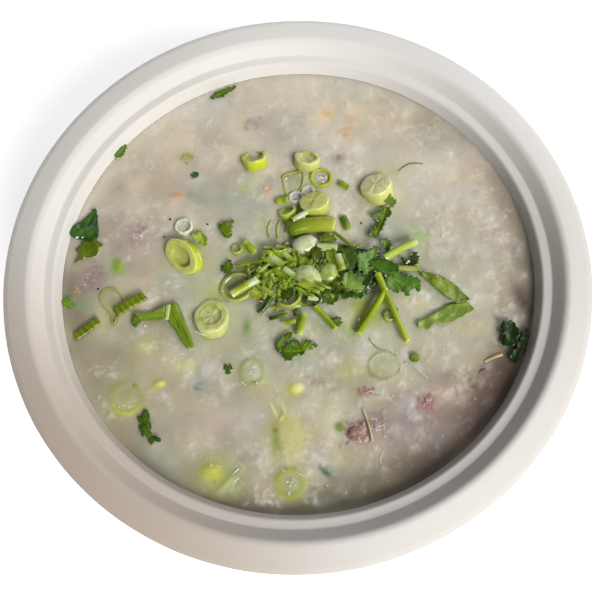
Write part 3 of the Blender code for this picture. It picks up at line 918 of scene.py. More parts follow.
# %% Boiled rice starch
milky = {"Subsurface_Weight": 0.6, "Subsurface_Scale": 0.005, "Subsurface_Radius": (1.0, 0.95, 0.85)}
made = wet_material("boiled rice starch", 1.0, 0.2, 0.3, Roughness=0.30, IOR=1.36, **milky)
starch, shading, shader, painted = made[:4]
spot = add_node(shading, "ShaderNodeTexCoord").outputs["Object"]
clumped = add_node(shading, "ShaderNodeTexNoise", {"Vector": spot, "Scale": 1 / 0.008, "Detail": 2.0})
crowd = add_node(shading, "ShaderNodeMapRange", {0: clumped, 1: 0.40, 2: 0.62})
swirl = {"Vector": spot, "Scale": 1 / 0.0030, "Detail": 2.0, "Roughness": 0.55, "Distortion": 1.4}
threads = add_node(shading, "ShaderNodeTexNoise", swirl)
off_line = add_node(shading, "ShaderNodeMath", {0: threads, 1: 0.5}, operation="SUBTRACT")
distance = add_node(shading, "ShaderNodeMath", {0: off_line}, operation="ABSOLUTE")
thin = add_node(shading, "ShaderNodeMapRange", {0: distance, 1: 0.0, 2: 0.035, 3: 0.34, 4: 0.0})
shreds = add_node(shading, "ShaderNodeMapRange", {0: threads, 1: 0.56, 2: 0.70, 3: 0.0, 4: 0.42})
share = thin
many = add_node(shading, "ShaderNodeMath", {0: crowd, 1: painted.node.outputs["Alpha"]}, operation="MULTIPLY")
for operation, value in (("MAXIMUM", shreds), ("MULTIPLY", many)):
    share = add_node(shading, "ShaderNodeMath", {0: share, 1: value}, operation=operation)
mix = {"Factor": share, 6: painted, 7: linear("efe9e0")}
whitened = add_node(shading, "ShaderNodeMix", mix, data_type="RGBA").outputs[2]
shading.links.new(whitened, shader.inputs["Base Color"])
settle(make_mesh("congee_surface", points * MM, faces, starch, tints), "rice_congee", "congee")

# %% [markdown]
# ## Cuts of spring onion
# A spring onion is a stack of tubes, one inside another. Sliced across, it gives rings whose cut face
# shows the layers: pale flesh, a green line between layers, and a vivid skin. Each cut is a section
# turned round its own axis, so one function makes them all, with the layers as ridges and colours on
# the cut face, fine veins down the wall, and a seeded wobble so that no two are alike.


# %% Batches of small meshes
def stand(x, y, rise, lean=0.0, heading=0.0, spin=0.0):
    """Where a piece stands: mm across, its middle's rise over the congee, then degrees of lean and spin."""
    way = math.radians(heading)
    hinge = Vector((-math.sin(way), math.cos(way), 0))
    place = Matrix.Translation((x, y, LEVEL + rise)) @ Matrix.Rotation(math.radians(lean), 4, hinge)
    return np.array(place @ Matrix.Rotation(math.radians(spin), 4, "Z"))


def new_batch():
    """An empty batch of points, faces and tints, which later becomes one piece."""
    return {"points": [], "faces": [], "tints": [], "count": 0}


def add_to(batch, points, faces, tints, place=None):
    """Adds a small mesh, in mm, to a batch, moved to its place."""
    points = np.asarray(points, float)
    if place is not None:
        points = points @ place[:3, :3].T + place[:3, 3]
    batch["points"].append(points)
    batch["faces"] += [tuple(i + batch["count"] for i in face) for face in faces]
    batch["tints"].append(np.clip(tints, 0.004, 0.93))
    batch["count"] += len(points)


def finish(batch, name, material, slot, *nodes):
    """Turns a batch into one settled piece."""
    colours = np.concatenate(batch["tints"])
    colours = np.c_[colours, np.ones(len(colours))]
    points = np.concatenate(batch["points"]) * MM
    settle(make_mesh(name, points, batch["faces"], material, colours), slot, *nodes)


def ring_faces(rows, steps, wrapped=False):
    """Quads between rows of so many steps round a shape. Wrapped, the last row meets the first."""
    here, turned = np.arange(steps), (np.arange(steps) + 1) % steps
    low = np.arange(rows if wrapped else rows - 1)[:, None] * steps
    high = (low + steps) % (rows * steps)
    quads = np.stack([low + here, low + turned, high + turned, high + here], -1).reshape(-1, 4)
    return [tuple(quad) for quad in quads.tolist()]


def ripple(angles, waves, dice):
    """A smooth random line round a circle, about one unit high."""
    line = np.zeros(len(angles))
    for count in waves:
        line += np.sin(count * angles + dice.uniform(0, math.tau)) * dice.uniform(0.5, 1.0)
    return line / math.sqrt(len(waves))


print("batches are ready")

# %% One cut of spring onion
# Each row: name, lower wall, upper wall, rim of the cut, its flesh, line round the bore, inside the bore.
SKINS = {
    name: paints(*words)
    for name, *words in table("""
yellow b6c224 ccd83c dde28c d4da80 b4c040 c6ca74
pale bcc674 d2d98c e2e6a6 dce098 b2c03e d4d898
cream c6ce6c dfe08c f0f2bc f0f2b8 e8eca6 e8eca6
lime b4bc50 ccd06c dcdf94 d6d888 ccce78 ccce78
olive 96a230 a6b23c c2ca80 b4bd74 9aa63c 9fa472
green 6f9416 8fae28 b4c860 a8c058 84a434 7d9440
white c3cf8c dde2c2 ecede0 e9ebdd e0e4d0 ccd0b4
grey c4c8b0 d2d6c4 dcdfd2 d4d8c8 c8ccb8 c0c4b4
clear a2a948 aeb658 b9c06a b0b766 98a23c a8ac84
drowned c2c77c ced27c d8dc84 dade8c d4d884 d4d884
matte b0b050 bcbc60 cdcb84 cac88a d0ce90 cac88a
dark 3c5c0c 4c7010 6c8c1c 86a030 7c9828 8ca038
fresh 8cae20 b0c83c d6de84 cfd884 a8bc4c b4c468
""")
}


def onion_cut(batch, row, seed, steps=72):
    """A short piece along its axis with a cut face on top, and starch in its bore."""
    x, y, rise, outer, hole, length, lean, heading, squash, spin, skin, plug, dome = row
    dice = np.random.default_rng(seed)
    low, high, rim, flesh, line, heart = SKINS[skin]
    out, bore, half = outer / 2, hole / 2, length / 2
    rows = [(0.03, -half, low)]
    rows += [(out, -half + (length - 0.45) * k / 8, low + (high - low) * k / 8) for k in range(9)]
    rows += [(out - 0.05, half - 0.2, high * 0.5 + rim * 0.5), (out - 0.18, half - 0.05, rim)]
    face_steps = max(8, int((out - bore) / 0.18))
    for k in range(face_steps):
        radius = out - 0.3 - (out - 0.34 - bore) * k / face_steps
        near_bore = math.exp(-(((radius - bore) / 0.45) ** 2)) if bore else 0.0
        near_skin = math.exp(-(((out - radius) / 0.5) ** 2))
        row_colour = flesh + (rim - flesh) * near_skin + (line - flesh) * near_bore
        ring = 0.04 * math.cos(math.tau * radius / 1.1)
        rows.append((radius, half + ring + dome * (1 - (radius / out) ** 2), row_colour * (1 + 0.7 * ring)))
    if bore:
        rows += [(bore, half - 0.2, line), (bore * 0.97, half - plug * 0.7, heart * 0.9)]
        rows += [(bore * 0.85, half - plug, heart), (bore * 0.45, half - plug - 0.1, heart * 1.08)]
    rows.append((0.03, half - plug - 0.05 if bore else half + dome, heart * 1.05))
    angles = np.arange(steps) * math.tau / steps
    wobble = 1 + 0.035 * ripple(angles, (2, 3, 5), dice)
    veins = 1 + 0.06 * ripple(angles, (17, 23, 31, 36), dice) + 0.06 * ripple(angles, (2, 3), dice)
    lift = 0.16 * ripple(angles, (2, 3, 7), dice)
    cells = 0.03 * ripple(angles, (11, 19, 29), dice)
    points, colours = [], []
    for radius, height, colour in rows:
        reach = radius * (wobble if radius > bore + 0.1 else 1 + (wobble - 1) * 1.6)
        raised = height + lift * max(height / half, 0.0)
        points.append(np.stack([reach * np.cos(angles), reach * np.sin(angles) * squash, raised], 1))
        shade = 1 + cells * radius / out if height > half - 0.1 else veins
        colours.append(colour[None, :] * shade[:, None])
    last = (len(rows) - 1) * steps
    faces = [tuple(range(steps))[::-1], *ring_faces(len(rows), steps), tuple(range(last, last + steps))]
    place = stand(x, y, rise, lean, heading, spin)
    add_to(batch, np.concatenate(points), faces, np.concatenate(colours), place)


print(f"{len(SKINS)} kinds of onion skin")

# %% [markdown]
# ## Fresh spring onion
# Onion flesh is crisp wet cells full of water, cut with a knife. Light goes about 2 mm into it, so thin
# walls glow, and the wet cut gives small soft highlights over cells about 0.9 mm apart. The same cells
# mottle the tint by a few parts in a hundred.

# %% Fresh spring onion
glowing = {"Subsurface_Weight": 0.8, "Subsurface_Scale": 0.0022, "Subsurface_Radius": (0.95, 1.0, 0.45)}
wet_film = {"Coat_Weight": 0.7, "Coat_Roughness": 0.07}
onion_flesh, shading, shader, painted, cells = wet_material(
    "fresh spring onion", 0.9, 0.2, 0.3, Roughness=0.24, IOR=1.36, **glowing, **wet_film
)
shade = add_node(shading, "ShaderNodeMapRange", {0: cells, 1: 0.3, 2: 0.7, 3: 0.97, 4: 1.04})
mottled = add_node(shading, "ShaderNodeVectorMath", {0: painted, "Scale": shade}, operation="SCALE")
shading.links.new(mottled.outputs[0], shader.inputs["Base Color"])
print(f"{len(shading.nodes)} nodes")

# %% [markdown]
# ## The cuts round the dish
# Seven cuts stand clear of the starch, and six have sunk in it. A knife and chance gave each its own
# size, lean and colour, so each has a row of its own, and the same function turns every row into a cut.

# %% The cuts round the dish
# Each row: node, x, y, rise, outer and bore diameters, length, lean, heading, squash, spin, skin, plug
# below the rim, dome.
CUTS = table("""
onion_back_cut -9.6 40.4 0.1 8.2 5.6 3.2 34 95 1 0 yellow 0.9 0
onion_back_pale 7 38 0.6 8.2 5.2 3 30 75 1 0 pale 0.7 0
onion_chunk_right 28 25.2 0.5 9.8 0 5.4 24 120 1 0 cream 0 0.3
onion_chunk_centre 7.9 21.8 0.6 9.2 0 4.8 20 100 0.9 0 lime 0 0.3
onion_slice_centre -0.6 20.4 0.4 5.6 3.6 2.6 36 110 1 0 fresh 0.7 0
onion_oval_left -33.6 9.3 0.4 13.4 7.6 4.6 32 215 0.64 -55 yellow 1.2 0
onion_double_left -26.4 -11.8 -0.2 10.6 5.8 4.2 18 100 1.15 0 pale 0.35 0
""")
# Rows of the same kind, for cuts of which only the rims break the surface.
SUNK_CUTS = table("""
onion_sunk_left -53 -33.4 -1.2 10.4 7.2 2 0 0 1 20 clear 0.6 0
onion_edge_front -24.4 -60.2 -1.05 11.6 0 1.8 0 0 0.3 40 drowned 0 0.3
onion_round_front -7.2 -62.4 -1.1 9.4 6 2 2 90 1 50 clear 0.5 0
onion_foam_front -15.6 -29.4 -1.15 6.2 4.2 2 0 0 1.32 10 clear 0.3 0
onion_double_front -6.3 -49.2 -1.7 7.6 0 2 1 260 1.75 -4 matte 0 0.3
onion_outline_right 23 -31.4 -1.15 9.9 8.9 2 2 140 0.93 0 clear 0.6 0
""")
for kind, rows in (("cut_", CUTS), ("sunk_", SUNK_CUTS)):
    for seed, (node, *row) in enumerate(rows):
        batch = new_batch()
        onion_cut(batch, row, seed)
        finish(batch, kind + node, onion_flesh, "spring_onion", node)

# %% [markdown]
# ## Thin rings with starch inside
# A ring that is one onion skin on edge has a wall about 0.5 mm thick and bends to any outline. A closed
# smooth line through a few corners gives the outline, and a small section of the wall is swept along it.

# %% Thin rings
# Each row: node, wall, height, skin, edge, corners of the outline, or the middle and half sizes of an oval.
THIN_RINGS = table("""
onion_back_thin 0.62 1.5 8a9c18 b4be48 -1.3 32.2 -0.4 33.9 2.1 34.6 5 34.4 5.4 32 4.5 29.4 2.7 27.6 0.3 26.7
  -0.4 27.2 -1 29.5
onion_back_foam 0.95 1.7 96a420 b6c040 10.9 31.7 3.1 2.9
onion_loop_left 0.42 1.2 868c34 a6ac64 -58.5 1 -55.9 1 -53.4 -1.2 -52.7 -3.7 -54.3 -6.5 -55.9 -10.5 -56.6 -8.5
  -56.8 -7 -59 -4.1 -59.8 -1.3
""")
OVAL_CORNERS = 12
# Each row: share of the wall outwards, height from the rim, 1 where the colour is the edge's.
WALL_SECTION = table("""
0.5 -1.6 0
0.5 -0.12 0
0.35 0 1
0 0.04 1
-0.35 0 1
-0.5 -0.12 0
-0.5 -1.6 0
""")


def signed_area(outline):
    """Twice the area inside an outline, positive when it runs anticlockwise."""
    x, y = outline[:, 0], outline[:, 1]
    return float(np.sum(x * np.roll(y, -1) - y * np.roll(x, -1)))


def smooth_loop(corners, count):
    """A closed smooth line through these corners, with about this many points."""
    before, after, beyond = np.roll(corners, 1, 0), np.roll(corners, -1, 0), np.roll(corners, -2, 0)
    per_side = math.ceil(count / len(corners))
    line = []
    for p0, p1, p2, p3 in zip(before, corners, after, beyond):
        for t in np.arange(per_side) / per_side:
            line.append(
                0.5 * (2 * p1 + (p2 - p0) * t + (2 * p0 - 5 * p1 + 4 * p2 - p3) * t**2)
                + 0.5 * (3 * p1 - p0 - 3 * p2 + p3) * t**3
            )
    return np.array(line)


def thin_ring(batch, corners, wall, tall, colours, seed):
    """A closed ribbon of onion skin on edge, with a wall this thick and standing this tall."""
    loop = smooth_loop(corners, 96)
    way = np.roll(loop, -1, 0) - np.roll(loop, 1, 0)
    way /= np.linalg.norm(way, axis=1)[:, None]
    outward = np.stack([way[:, 1], -way[:, 0]], 1) * (1 if signed_area(loop) > 0 else -1)
    dice = np.random.default_rng(seed)
    angles = np.arange(len(loop)) * math.tau / len(loop)
    level = LEVEL + tall * 0.3 + 0.2 * ripple(angles, (2, 3, 5), dice)
    veins = 1 + 0.08 * ripple(angles, (17, 29, 37), dice)
    points = [np.c_[loop + outward * wall * out, level + up] for out, up, kind in WALL_SECTION]
    tints = [colours[int(kind)][None, :] * veins[:, None] for out, up, kind in WALL_SECTION]
    faces = ring_faces(len(WALL_SECTION), len(loop), wrapped=True)
    if signed_area(loop) < 0:
        faces = [face[::-1] for face in faces]
    add_to(batch, np.concatenate(points), faces, np.concatenate(tints))


for seed, (node, wall, tall, skin, edge, *corners) in enumerate(THIN_RINGS):
    if len(corners) == 4:
        x, y, half_x, half_y = corners
        angles = np.arange(OVAL_CORNERS) * math.tau / OVAL_CORNERS
        corners = np.stack([x + half_x * np.cos(angles), y + half_y * np.sin(angles)], 1)
    batch = new_batch()
    thin_ring(batch, np.reshape(corners, (-1, 2)), wall, tall, paints(skin, edge), seed)
    finish(batch, "thin_" + node, onion_flesh, "spring_onion", node)

# %% [markdown]
# ## Leaves and flat strips
# Coriander leaves are thin, lobed and a little cupped, with a vein into every lobe. The wide cut strips
# are the hollow green tops of the onion, opened out and flat. Each starts from the outline of its
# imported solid, or from one of its own where it is cut or folded. The outline is then given uneven teeth.


# %% Outlines
def top_outline(node):
    """The outline of a packed flat solid's upper side, in order, in mm."""
    shell = bmesh.new()
    shell.from_mesh(bpy.data.objects[node].data)
    bmesh.ops.remove_doubles(shell, verts=shell.verts, dist=0.000001)
    shell.normal_update()
    top = {face for face in shell.faces if face.normal.z > 0.3}
    links = {}
    for side in shell.edges:
        if len(set(side.link_faces) & top) == 1:
            a, b = side.verts
            links.setdefault(a, []).append(b)
            links.setdefault(b, []).append(a)
    loop = [next(iter(links))]
    while onward := [v for v in links[loop[-1]] if v not in loop]:
        loop.append(onward[0])
    outline = np.array([(v.co.x / MM, v.co.y / MM) for v in loop])
    shell.free()
    return anticlockwise(outline)


def anticlockwise(outline):
    """The same outline, turned round if it runs clockwise."""
    return outline if signed_area(outline) > 0 else outline[::-1]


def toothed(outline, pitch, depth, seed):
    """The outline with uneven pointed teeth, about this far apart and this deep, in mm."""
    dice = np.random.default_rng(seed)
    made = []
    for a, b in zip(outline, np.roll(outline, -1, 0)):
        span = np.linalg.norm(b - a)
        out = np.array([b[1] - a[1], a[0] - b[0]]) / span
        teeth = max(1, round(span / pitch))
        for tooth in range(teeth):
            deep = depth * dice.uniform(0.3, 1.4)
            tip = dice.uniform(0.45, 0.75)
            for share, height in ((0.0, -0.15), (tip * 0.5, 0.55), (tip, 1.0), (tip + 0.12, 0.45)):
                made.append(a + (b - a) * (tooth + share) / teeth + out * deep * height)
    return np.array(made)


def inside(outline, x, y):
    """Which points lie inside an outline."""
    hit = np.zeros(x.shape, bool)
    for (x1, y1), (x2, y2) in zip(outline, np.roll(outline, -1, 0)):
        crosses = (y1 > y) != (y2 > y)
        hit ^= crosses & (x < (x2 - x1) * (y - y1) / (y2 - y1 + 1e-12) + x1)
    return hit


def line_distance(lines, x, y, farthest=1e9):
    """The distance in mm from points to the nearest of these lines of points, at most farthest."""
    best = np.full(x.shape, farthest)
    for line in lines:
        for (x1, y1), (x2, y2) in zip(line[:-1], line[1:]):
            dx, dy = x2 - x1, y2 - y1
            share = np.clip(((x - x1) * dx + (y - y1) * dy) / (dx * dx + dy * dy + 1e-12), 0, 1)
            best = np.minimum(best, np.hypot(x - x1 - share * dx, y - y1 - share * dy))
    return best


def edge_distance(outline, x, y):
    """The distance in mm from points to an outline."""
    return line_distance([np.concatenate([outline, outline[:1]])], x, y)


print("outline helpers are ready")

# %% [markdown]
# ## A thin sheet inside an outline
# A fine net of triangles fills the outline. A painter gives each of its points a height and a tint, so
# that cup and veins come as shape and colour together. The sheet gets a thin body with a soft edge, so
# that light and shadow catch it.


# %% Sheets
def sheet(batch, outline, painter, thick=0.3, step=0.34):
    """Fills an outline with small triangles. The painter gives each point's height in mm and its tint."""
    low, high = outline.min(0), outline.max(0)
    row_gap = 0.87 * step
    x, y = np.meshgrid(np.arange(low[0], high[0], step), np.arange(low[1], high[1], row_gap))
    x[1::2] += step / 2
    x, y = x.ravel(), y.ravel()
    keep = inside(outline, x, y)
    x, y = x[keep], y[keep]
    keep = edge_distance(outline, x, y) > step * 0.35
    flat = np.concatenate([outline, np.stack([x[keep], y[keep]], 1)])
    count = len(outline)
    rim = [(i, (i + 1) % count) for i in range(count)]
    filled = delaunay_2d_cdt([Vector(p) for p in flat], rim, [], 1, 0.00001)
    spots = np.array([tuple(p) for p in filled[0]])
    triangles = [tuple(face) for face in filled[2]]
    sides = [side for face in triangles for side in zip(face, face[1:] + face[:1])]
    height, colour = painter(spots[:, 0], spots[:, 1])
    total = len(spots)
    near_edge = np.clip(edge_distance(outline, spots[:, 0], spots[:, 1]) / (thick * 0.6), 0, 1)
    half = thick / 2 * np.sqrt(near_edge * (2 - near_edge)) * 0.92 + thick * 0.04
    faces = triangles + [tuple(i + total for i in face[::-1]) for face in triangles]
    known = set(sides)
    faces += [(b, a, a + total, b + total) for a, b in sides if (b, a) not in known]
    points = np.concatenate([np.c_[spots, height + half], np.c_[spots, height - half]])
    add_to(batch, points, faces, np.concatenate([colour, colour * 0.9]))


print("sheets are ready")

# %% [markdown]
# ## Painting a leaf
# A painter is a function that is told where a sheet's points are and answers with their heights and
# tints. The distance to the nearest vein gives the vein its colour and the leaf between veins its cup.


# %% A painter for leaves
TWIG_GAP, TWIG_LENGTH, TWIG_TURN = 1.3, 2.0, 0.75


def twigs_of(start, end):
    """Side veins to both sides of a main vein."""
    length = np.linalg.norm(end - start)
    way = (end - start) / max(length, 0.001)
    twigs = []
    for k in range(1, int(length / TWIG_GAP)):
        root = start + way * TWIG_GAP * k
        for turn in (TWIG_TURN, -TWIG_TURN):
            c, s = math.cos(turn), math.sin(turn)
            side = np.array([way[0] * c - way[1] * s, way[0] * s + way[1] * c])
            twigs.append((root, root + side * TWIG_LENGTH))
    return twigs


def leaf_painter(outline, row, seed):
    """A vein runs from the stalk into each lobe, with side veins off it, over patches of the greens."""
    stalk, (dark, light, vein), (rise, tilt_x, tilt_y, cup) = np.array(row[:2]), paints(*row[2:5]), row[5:9]
    reach = np.linalg.norm(outline - stalk, axis=1)
    is_tip = (reach >= np.roll(reach, -1)) & (reach >= np.roll(reach, 1)) & (reach > 0.45 * reach.max())
    lines = [(stalk, stalk + (tip - stalk) * 0.93) for tip in outline[is_tip]]
    twigs = [twig for line in lines for twig in twigs_of(*line)]
    middle = outline.mean(0)

    def painter(x, y):
        """Heights and tints at these points of the leaf."""
        main, fine = line_distance(lines, x, y, 9.0), line_distance(twigs, x, y, 9.0)
        rib = np.clip(np.exp(-((main / 0.16) ** 2)) + 0.5 * np.exp(-((fine / 0.12) ** 2)), 0, 1)
        patchy = soft_noise(x, y, 2.6, 40 + seed)
        rough = soft_noise(x, y, 0.9, 60 + seed)
        share = np.clip(0.42 + 0.30 * patchy + 0.12 * rough, 0, 1)[:, None]
        colour = dark + (light - dark) * share
        colour = colour + (vein - colour) * (rib * 0.55)[:, None]
        margin = np.exp(-((edge_distance(outline, x, y) / 0.45) ** 2))[:, None]
        colour = colour + (dark * 0.8 - colour) * margin * 0.55
        height = LEVEL + rise + tilt_x * (x - middle[0]) + tilt_y * (y - middle[1])
        height += cup * np.minimum(main, 3.0) ** 1.4 * 0.3 + 0.22 * patchy + 0.06 * rough - 0.05 * rib
        return height, colour

    return painter


print("the leaf painter is ready")

# %% [markdown]
# ## Fresh coriander leaf
# Coriander is a thin matt leaf under a waxy skin, wet from the congee. The cells between its veins swell
# a little, about 0.7 mm apart, which breaks the highlights up.

# %% The coriander leaves
leaf_wax = {"Roughness": 0.3, "IOR": 1.33, "Coat_Weight": 0.6, "Coat_Roughness": 0.08}
leaf_skin = wet_material("fresh coriander leaf", 0.7, 0.5, 0.3, **leaf_wax)[0]
# Each row: node and the corners of an outline of its own.
OWN_OUTLINES = {
    node: np.reshape(corners, (-1, 2))[::-1]
    for node, *corners in table("""
leaf_left_dark -60.7 28.5 -60 24.4 -59.8 19.8 -60.6 17.6 -62.9 17.2 -65 18.3 -67.4 18.9 -68.9 20.2 -68.1 22.4
  -65.5 24.4 -63.9 25.4 -62.1 27.2
leaf_left_light -65 18.1 -60.6 18.2 -59.8 16.5 -58.3 15.6 -59.9 14.7 -60.7 12.2 -64 11.8 -67.9 10.8 -65.8 13.3
  -67.4 15.2 -65.5 16.4
leaf_front_left -46.8 -37.4 -46 -39.1 -46.2 -40.9 -45.6 -42.4 -46 -43.8 -45.5 -45.3 -44.1 -45.7 -43.1 -46.3
  -42.9 -47.2 -43.8 -47.4 -44.7 -46.8 -45.6 -48 -46.3 -47.4 -46.5 -45.9 -47.3 -45.1 -48.3 -45.5 -48.5 -44.3
  -47.8 -43.6 -49 -43.3 -49.4 -42 -48.1 -41.9 -49.5 -40.5 -49.5 -39.3 -48.4 -39.6 -47.9 -38.1
leaf_blade_upper 37.5 -4.1 39.1 -4.3 43.6 -6.4 46.9 -9.1 50.8 -14 50 -14.5 46.5 -14.9 44.1 -13.3 41.4 -10.2
  37.6 -5.5
leaf_blade_lower 46.6 -14.7 49.8 -14.6 51.7 -17.3 46.3 -19.7 43 -20.9 39.1 -20.7 36.8 -22.1 33.8 -21.2 34.3
  -19.3 39 -17.6 43.9 -15
""")
}
# Each row: node, stalk end, greens (dark, light, vein), rise, tilt per mm, cup, tooth pitch and depth.
# leaf_right_upper and leaf_right_lower lie in the rim's shadow at the right; their near-black greens are a
# painted shade over the leaf's own green.
LEAVES = table("""
leaf_left_dark -66 19.6 244a16 46702a 709048 0.7 0 0.05 0.5 2.6 0.3
leaf_left_light -66.2 18 4a620a 74881a 40580a 0.7 0.03 0 0.4 2.4 0.3
leaf_back -21.8 65.2 355d10 5f851f 84a130 0.5 0 0.05 0.3 1.9 0.52
leaf_front_left -46 -46 2a4c0a 4a6c10 708c20 0.5 0 0.02 0.4 1.2 0.2
leaf_front -1.4 -24.8 3c610e 709312 a0b430 0.8 0 0.03 0.7 1.6 0.57
leaf_front_small -3.4 -18.9 40640e 6c8b13 9cb030 0.9 0.03 0.05 0.5 1.8 0.47
leaf_curled 25.6 10 35590c 688715 a0ae32 1 0.02 0.06 0.9 2 0.47
leaf_blade_upper 38 -4.2 6e8828 98ac48 587018 1.4 -0.02 0.05 0.3 2.6 0.12
leaf_blade_lower 50.6 -15.8 7c9838 a8bc60 64801c 0.7 0 -0.03 0.3 2.6 0.12
leaf_right_upper 59.5 -29 0c2804 203c08 385610 0.9 0.05 0.08 0.6 1.8 0.57
leaf_right_lower 60.2 -33.6 0e2606 26400c 42600f 0.8 0.04 0.06 0.5 1.8 0.57
""")
for seed, (node, *row) in enumerate(LEAVES):
    outline = OWN_OUTLINES[node] if node in OWN_OUTLINES else top_outline(node)
    batch = new_batch()
    sheet(batch, toothed(outline, *row[9:], seed), leaf_painter(outline, row, seed))
    finish(batch, "blade_" + node, leaf_skin, "coriander_leaf", node)

# %% [markdown]
# ## Cut strips of onion green
# The green top of an onion is a hollow blade with veins along it. Cut across and opened it is a bar with
# veins across. The bent strip is four pieces of one blade: a stub, a bar, the pale fold and a pointed end.


# %% The strips
def strip_painter(row, seed):
    """Veins across or along a flat cut of onion green."""
    start, end, (dark, light, vein) = np.array(row[:2]), np.array(row[2:4]), paints(*row[4:7])
    rise, tilt, spacing, across = row[7:11]
    length = np.linalg.norm(end - start)
    way = (end - start) / length

    def painter(x, y):
        """Heights and tints at these points of the strip."""
        along = (x - start[0]) * way[0] + (y - start[1]) * way[1]
        side = (y - start[1]) * way[0] - (x - start[0]) * way[1]
        counted, other = (along, side) if across else (side, along)
        wander = counted + 0.22 * soft_noise(other, counted, 1.6, 30 + seed)
        line = np.exp(-(((wander / spacing) % 1.0 - 0.5) ** 2) / 0.018)
        shade = soft_noise(counted, other * 0.25, spacing * 0.9, 70 + seed)
        colour = dark + (light - dark) * np.clip(0.5 + 0.28 * shade, 0, 1)[:, None]
        colour = colour + (vein - colour) * (line * 0.5)[:, None]
        return LEVEL + rise + tilt * (along / length - 0.5) + 0.07 * line + 0.08 * shade, colour

    return painter


# Each row: node, start and end of its length, greens, rise, tilt, vein spacing, 1 where the veins run
# across, and the corners of an outline of its own if it has one.
STRIPS = table("""
strip_left_inner -55.2 -7.2 -46 -2.8 586b0a 6e840e a7b130 1.5 0.5 1.8 1
strip_left_outer -67.5 -13.3 -60.3 -8.9 596b0c 738410 9ca62a 0.7 0.4 1.9 1
strip_bent -50 -9 -48 -11.6 4a641c 5c7824 7c9438 0.8 0 1.2 1 -50 -7.4 -50.4 -11.4 -49.2 -12.5 -47.6 -10.6
strip_bent -49 -9 -40 -9 5f7a18 849c2c a0b450 1.1 0.1 1.5 0 -49.5 -7.8 -47.8 -10.6 -40.6 -11 -39.9 -6.5 -40.4
  -6.2 -44.4 -8.2
strip_bent -39.8 -6.4 -40 -11.2 a4b460 bccc7c c8d490 1.35 0 1 0 -40.6 -10.9 -39.2 -11.2 -38.1 -6.4 -39.9 -6.2
strip_bent -38 -7 -33 -20.4 587414 7c981c a4b844 1.1 -0.3 0.9 0 -38.4 -6.4 -39.5 -11.1 -36.3 -16.7 -34.3 -20.6
  -31.8 -20.3 -33.7 -13.8 -36.1 -6.7 -36.8 -5.7
""")
for seed, node in enumerate(dict.fromkeys(row[0] for row in STRIPS)):
    batch = new_batch()
    for row in (row[1:] for row in STRIPS if row[0] == node):
        outline = np.reshape(row[11:], (-1, 2)) if row[11:] else top_outline(node)
        sheet(batch, toothed(outline, 1.6, 0.06, seed), strip_painter(row, seed), thick=0.9)
    finish(batch, "flat_" + node, leaf_skin, "onion_green", node)

# %% [markdown]
# ## Stems and shreds
# Coriander stems, shreds of ginger and thin cut onion tops all follow a path and swell or taper along
# it. One Geometry Nodes tree makes the lot: it takes short lines of edges whose points carry their own
# thickness and tint, smooths each line, and sweeps a flattened circle along it. Lengthwise
# grooves come from the section itself, because a stem is ribbed all the way round.

# %% The tree that sweeps a stem
SOCKETS = [("Step", "Float", 0.0004), ("Sides", "Int", 16), ("Rib Depth", "Float", 0.1)]
SOCKETS += [("Flatness", "Float", 0.85), ("Streaks", "Float", 0.2), ("Streak Seed", "Int", 4)]
tree, given = start_tree("ribbed stem", SOCKETS + [("Skin", "Material", None)])
path = add_node(tree, "GeometryNodeMeshToCurve", {"Mesh": given["Geometry"]})
smooth = add_node(tree, "GeometryNodeCurveSplineType", {"Curve": path}, spline_type="CATMULL_ROM")
fine = add_node(tree, "GeometryNodeResampleCurve", {"Curve": smooth, "Length": given["Step"]}, mode="LENGTH")
spine = add_node(tree, "GeometryNodeSetCurveNormal", {"Curve": fine}, mode="Z_UP")
circle = add_node(tree, "GeometryNodeCurvePrimitiveCircle", {"Resolution": given["Sides"], "Radius": 1.0})
order = add_node(tree, "GeometryNodeInputIndex")
odd = add_node(tree, "ShaderNodeMath", {0: order, 1: 2.0}, operation="MODULO")
groove = add_node(tree, "ShaderNodeMath", {0: odd, 1: given["Rib Depth"]}, operation="MULTIPLY")
rib = add_node(tree, "ShaderNodeMath", {0: 1.0, 1: groove}, operation="SUBTRACT")
here = add_node(tree, "GeometryNodeInputPosition")
spread = add_node(tree, "ShaderNodeVectorMath", {0: here, "Scale": rib}, operation="SCALE")
flat = add_node(tree, "ShaderNodeCombineXYZ", {"X": 1.0, "Y": given["Flatness"], "Z": 1.0})
squeezed = add_node(tree, "ShaderNodeVectorMath", {0: spread, 1: flat}, operation="MULTIPLY")
ribbed = add_node(tree, "GeometryNodeSetPosition", {"Geometry": circle, "Position": squeezed})
lightest = add_node(tree, "ShaderNodeMath", {0: 1.0, 1: given["Streaks"]}, operation="ADD")
darkest = add_node(tree, "ShaderNodeMath", {0: 1.0, 1: given["Streaks"]}, operation="SUBTRACT")
limits = {2: darkest, 3: lightest, "Seed": given["Streak Seed"]}
streak = add_node(tree, "FunctionNodeRandomValue", limits, data_type="FLOAT")
kept = {"Geometry": ribbed, "Name": "streak", "Value": streak.outputs[1]}
streaked = add_node(tree, "GeometryNodeStoreNamedAttribute", kept, data_type="FLOAT")
thick, own_tint, own_streak = (
    add_node(tree, "GeometryNodeInputNamedAttribute", {"Name": name}, data_type=kind)
    for name, kind in (("thick", "FLOAT"), ("tint", "FLOAT_VECTOR"), ("streak", "FLOAT"))
)
sweep = {"Curve": spine, "Profile Curve": streaked, "Scale": thick, "Fill Caps": True}
swept = add_node(tree, "GeometryNodeCurveToMesh", sweep)
striped = add_node(tree, "ShaderNodeVectorMath", {0: own_tint, "Scale": own_streak}, operation="SCALE")
kept = {"Geometry": swept, "Name": "tint", "Value": striped}
painted = add_node(tree, "GeometryNodeStoreNamedAttribute", kept, data_type="FLOAT_COLOR")
end_tree(tree, painted, given["Skin"])
STEM_TREE = tree


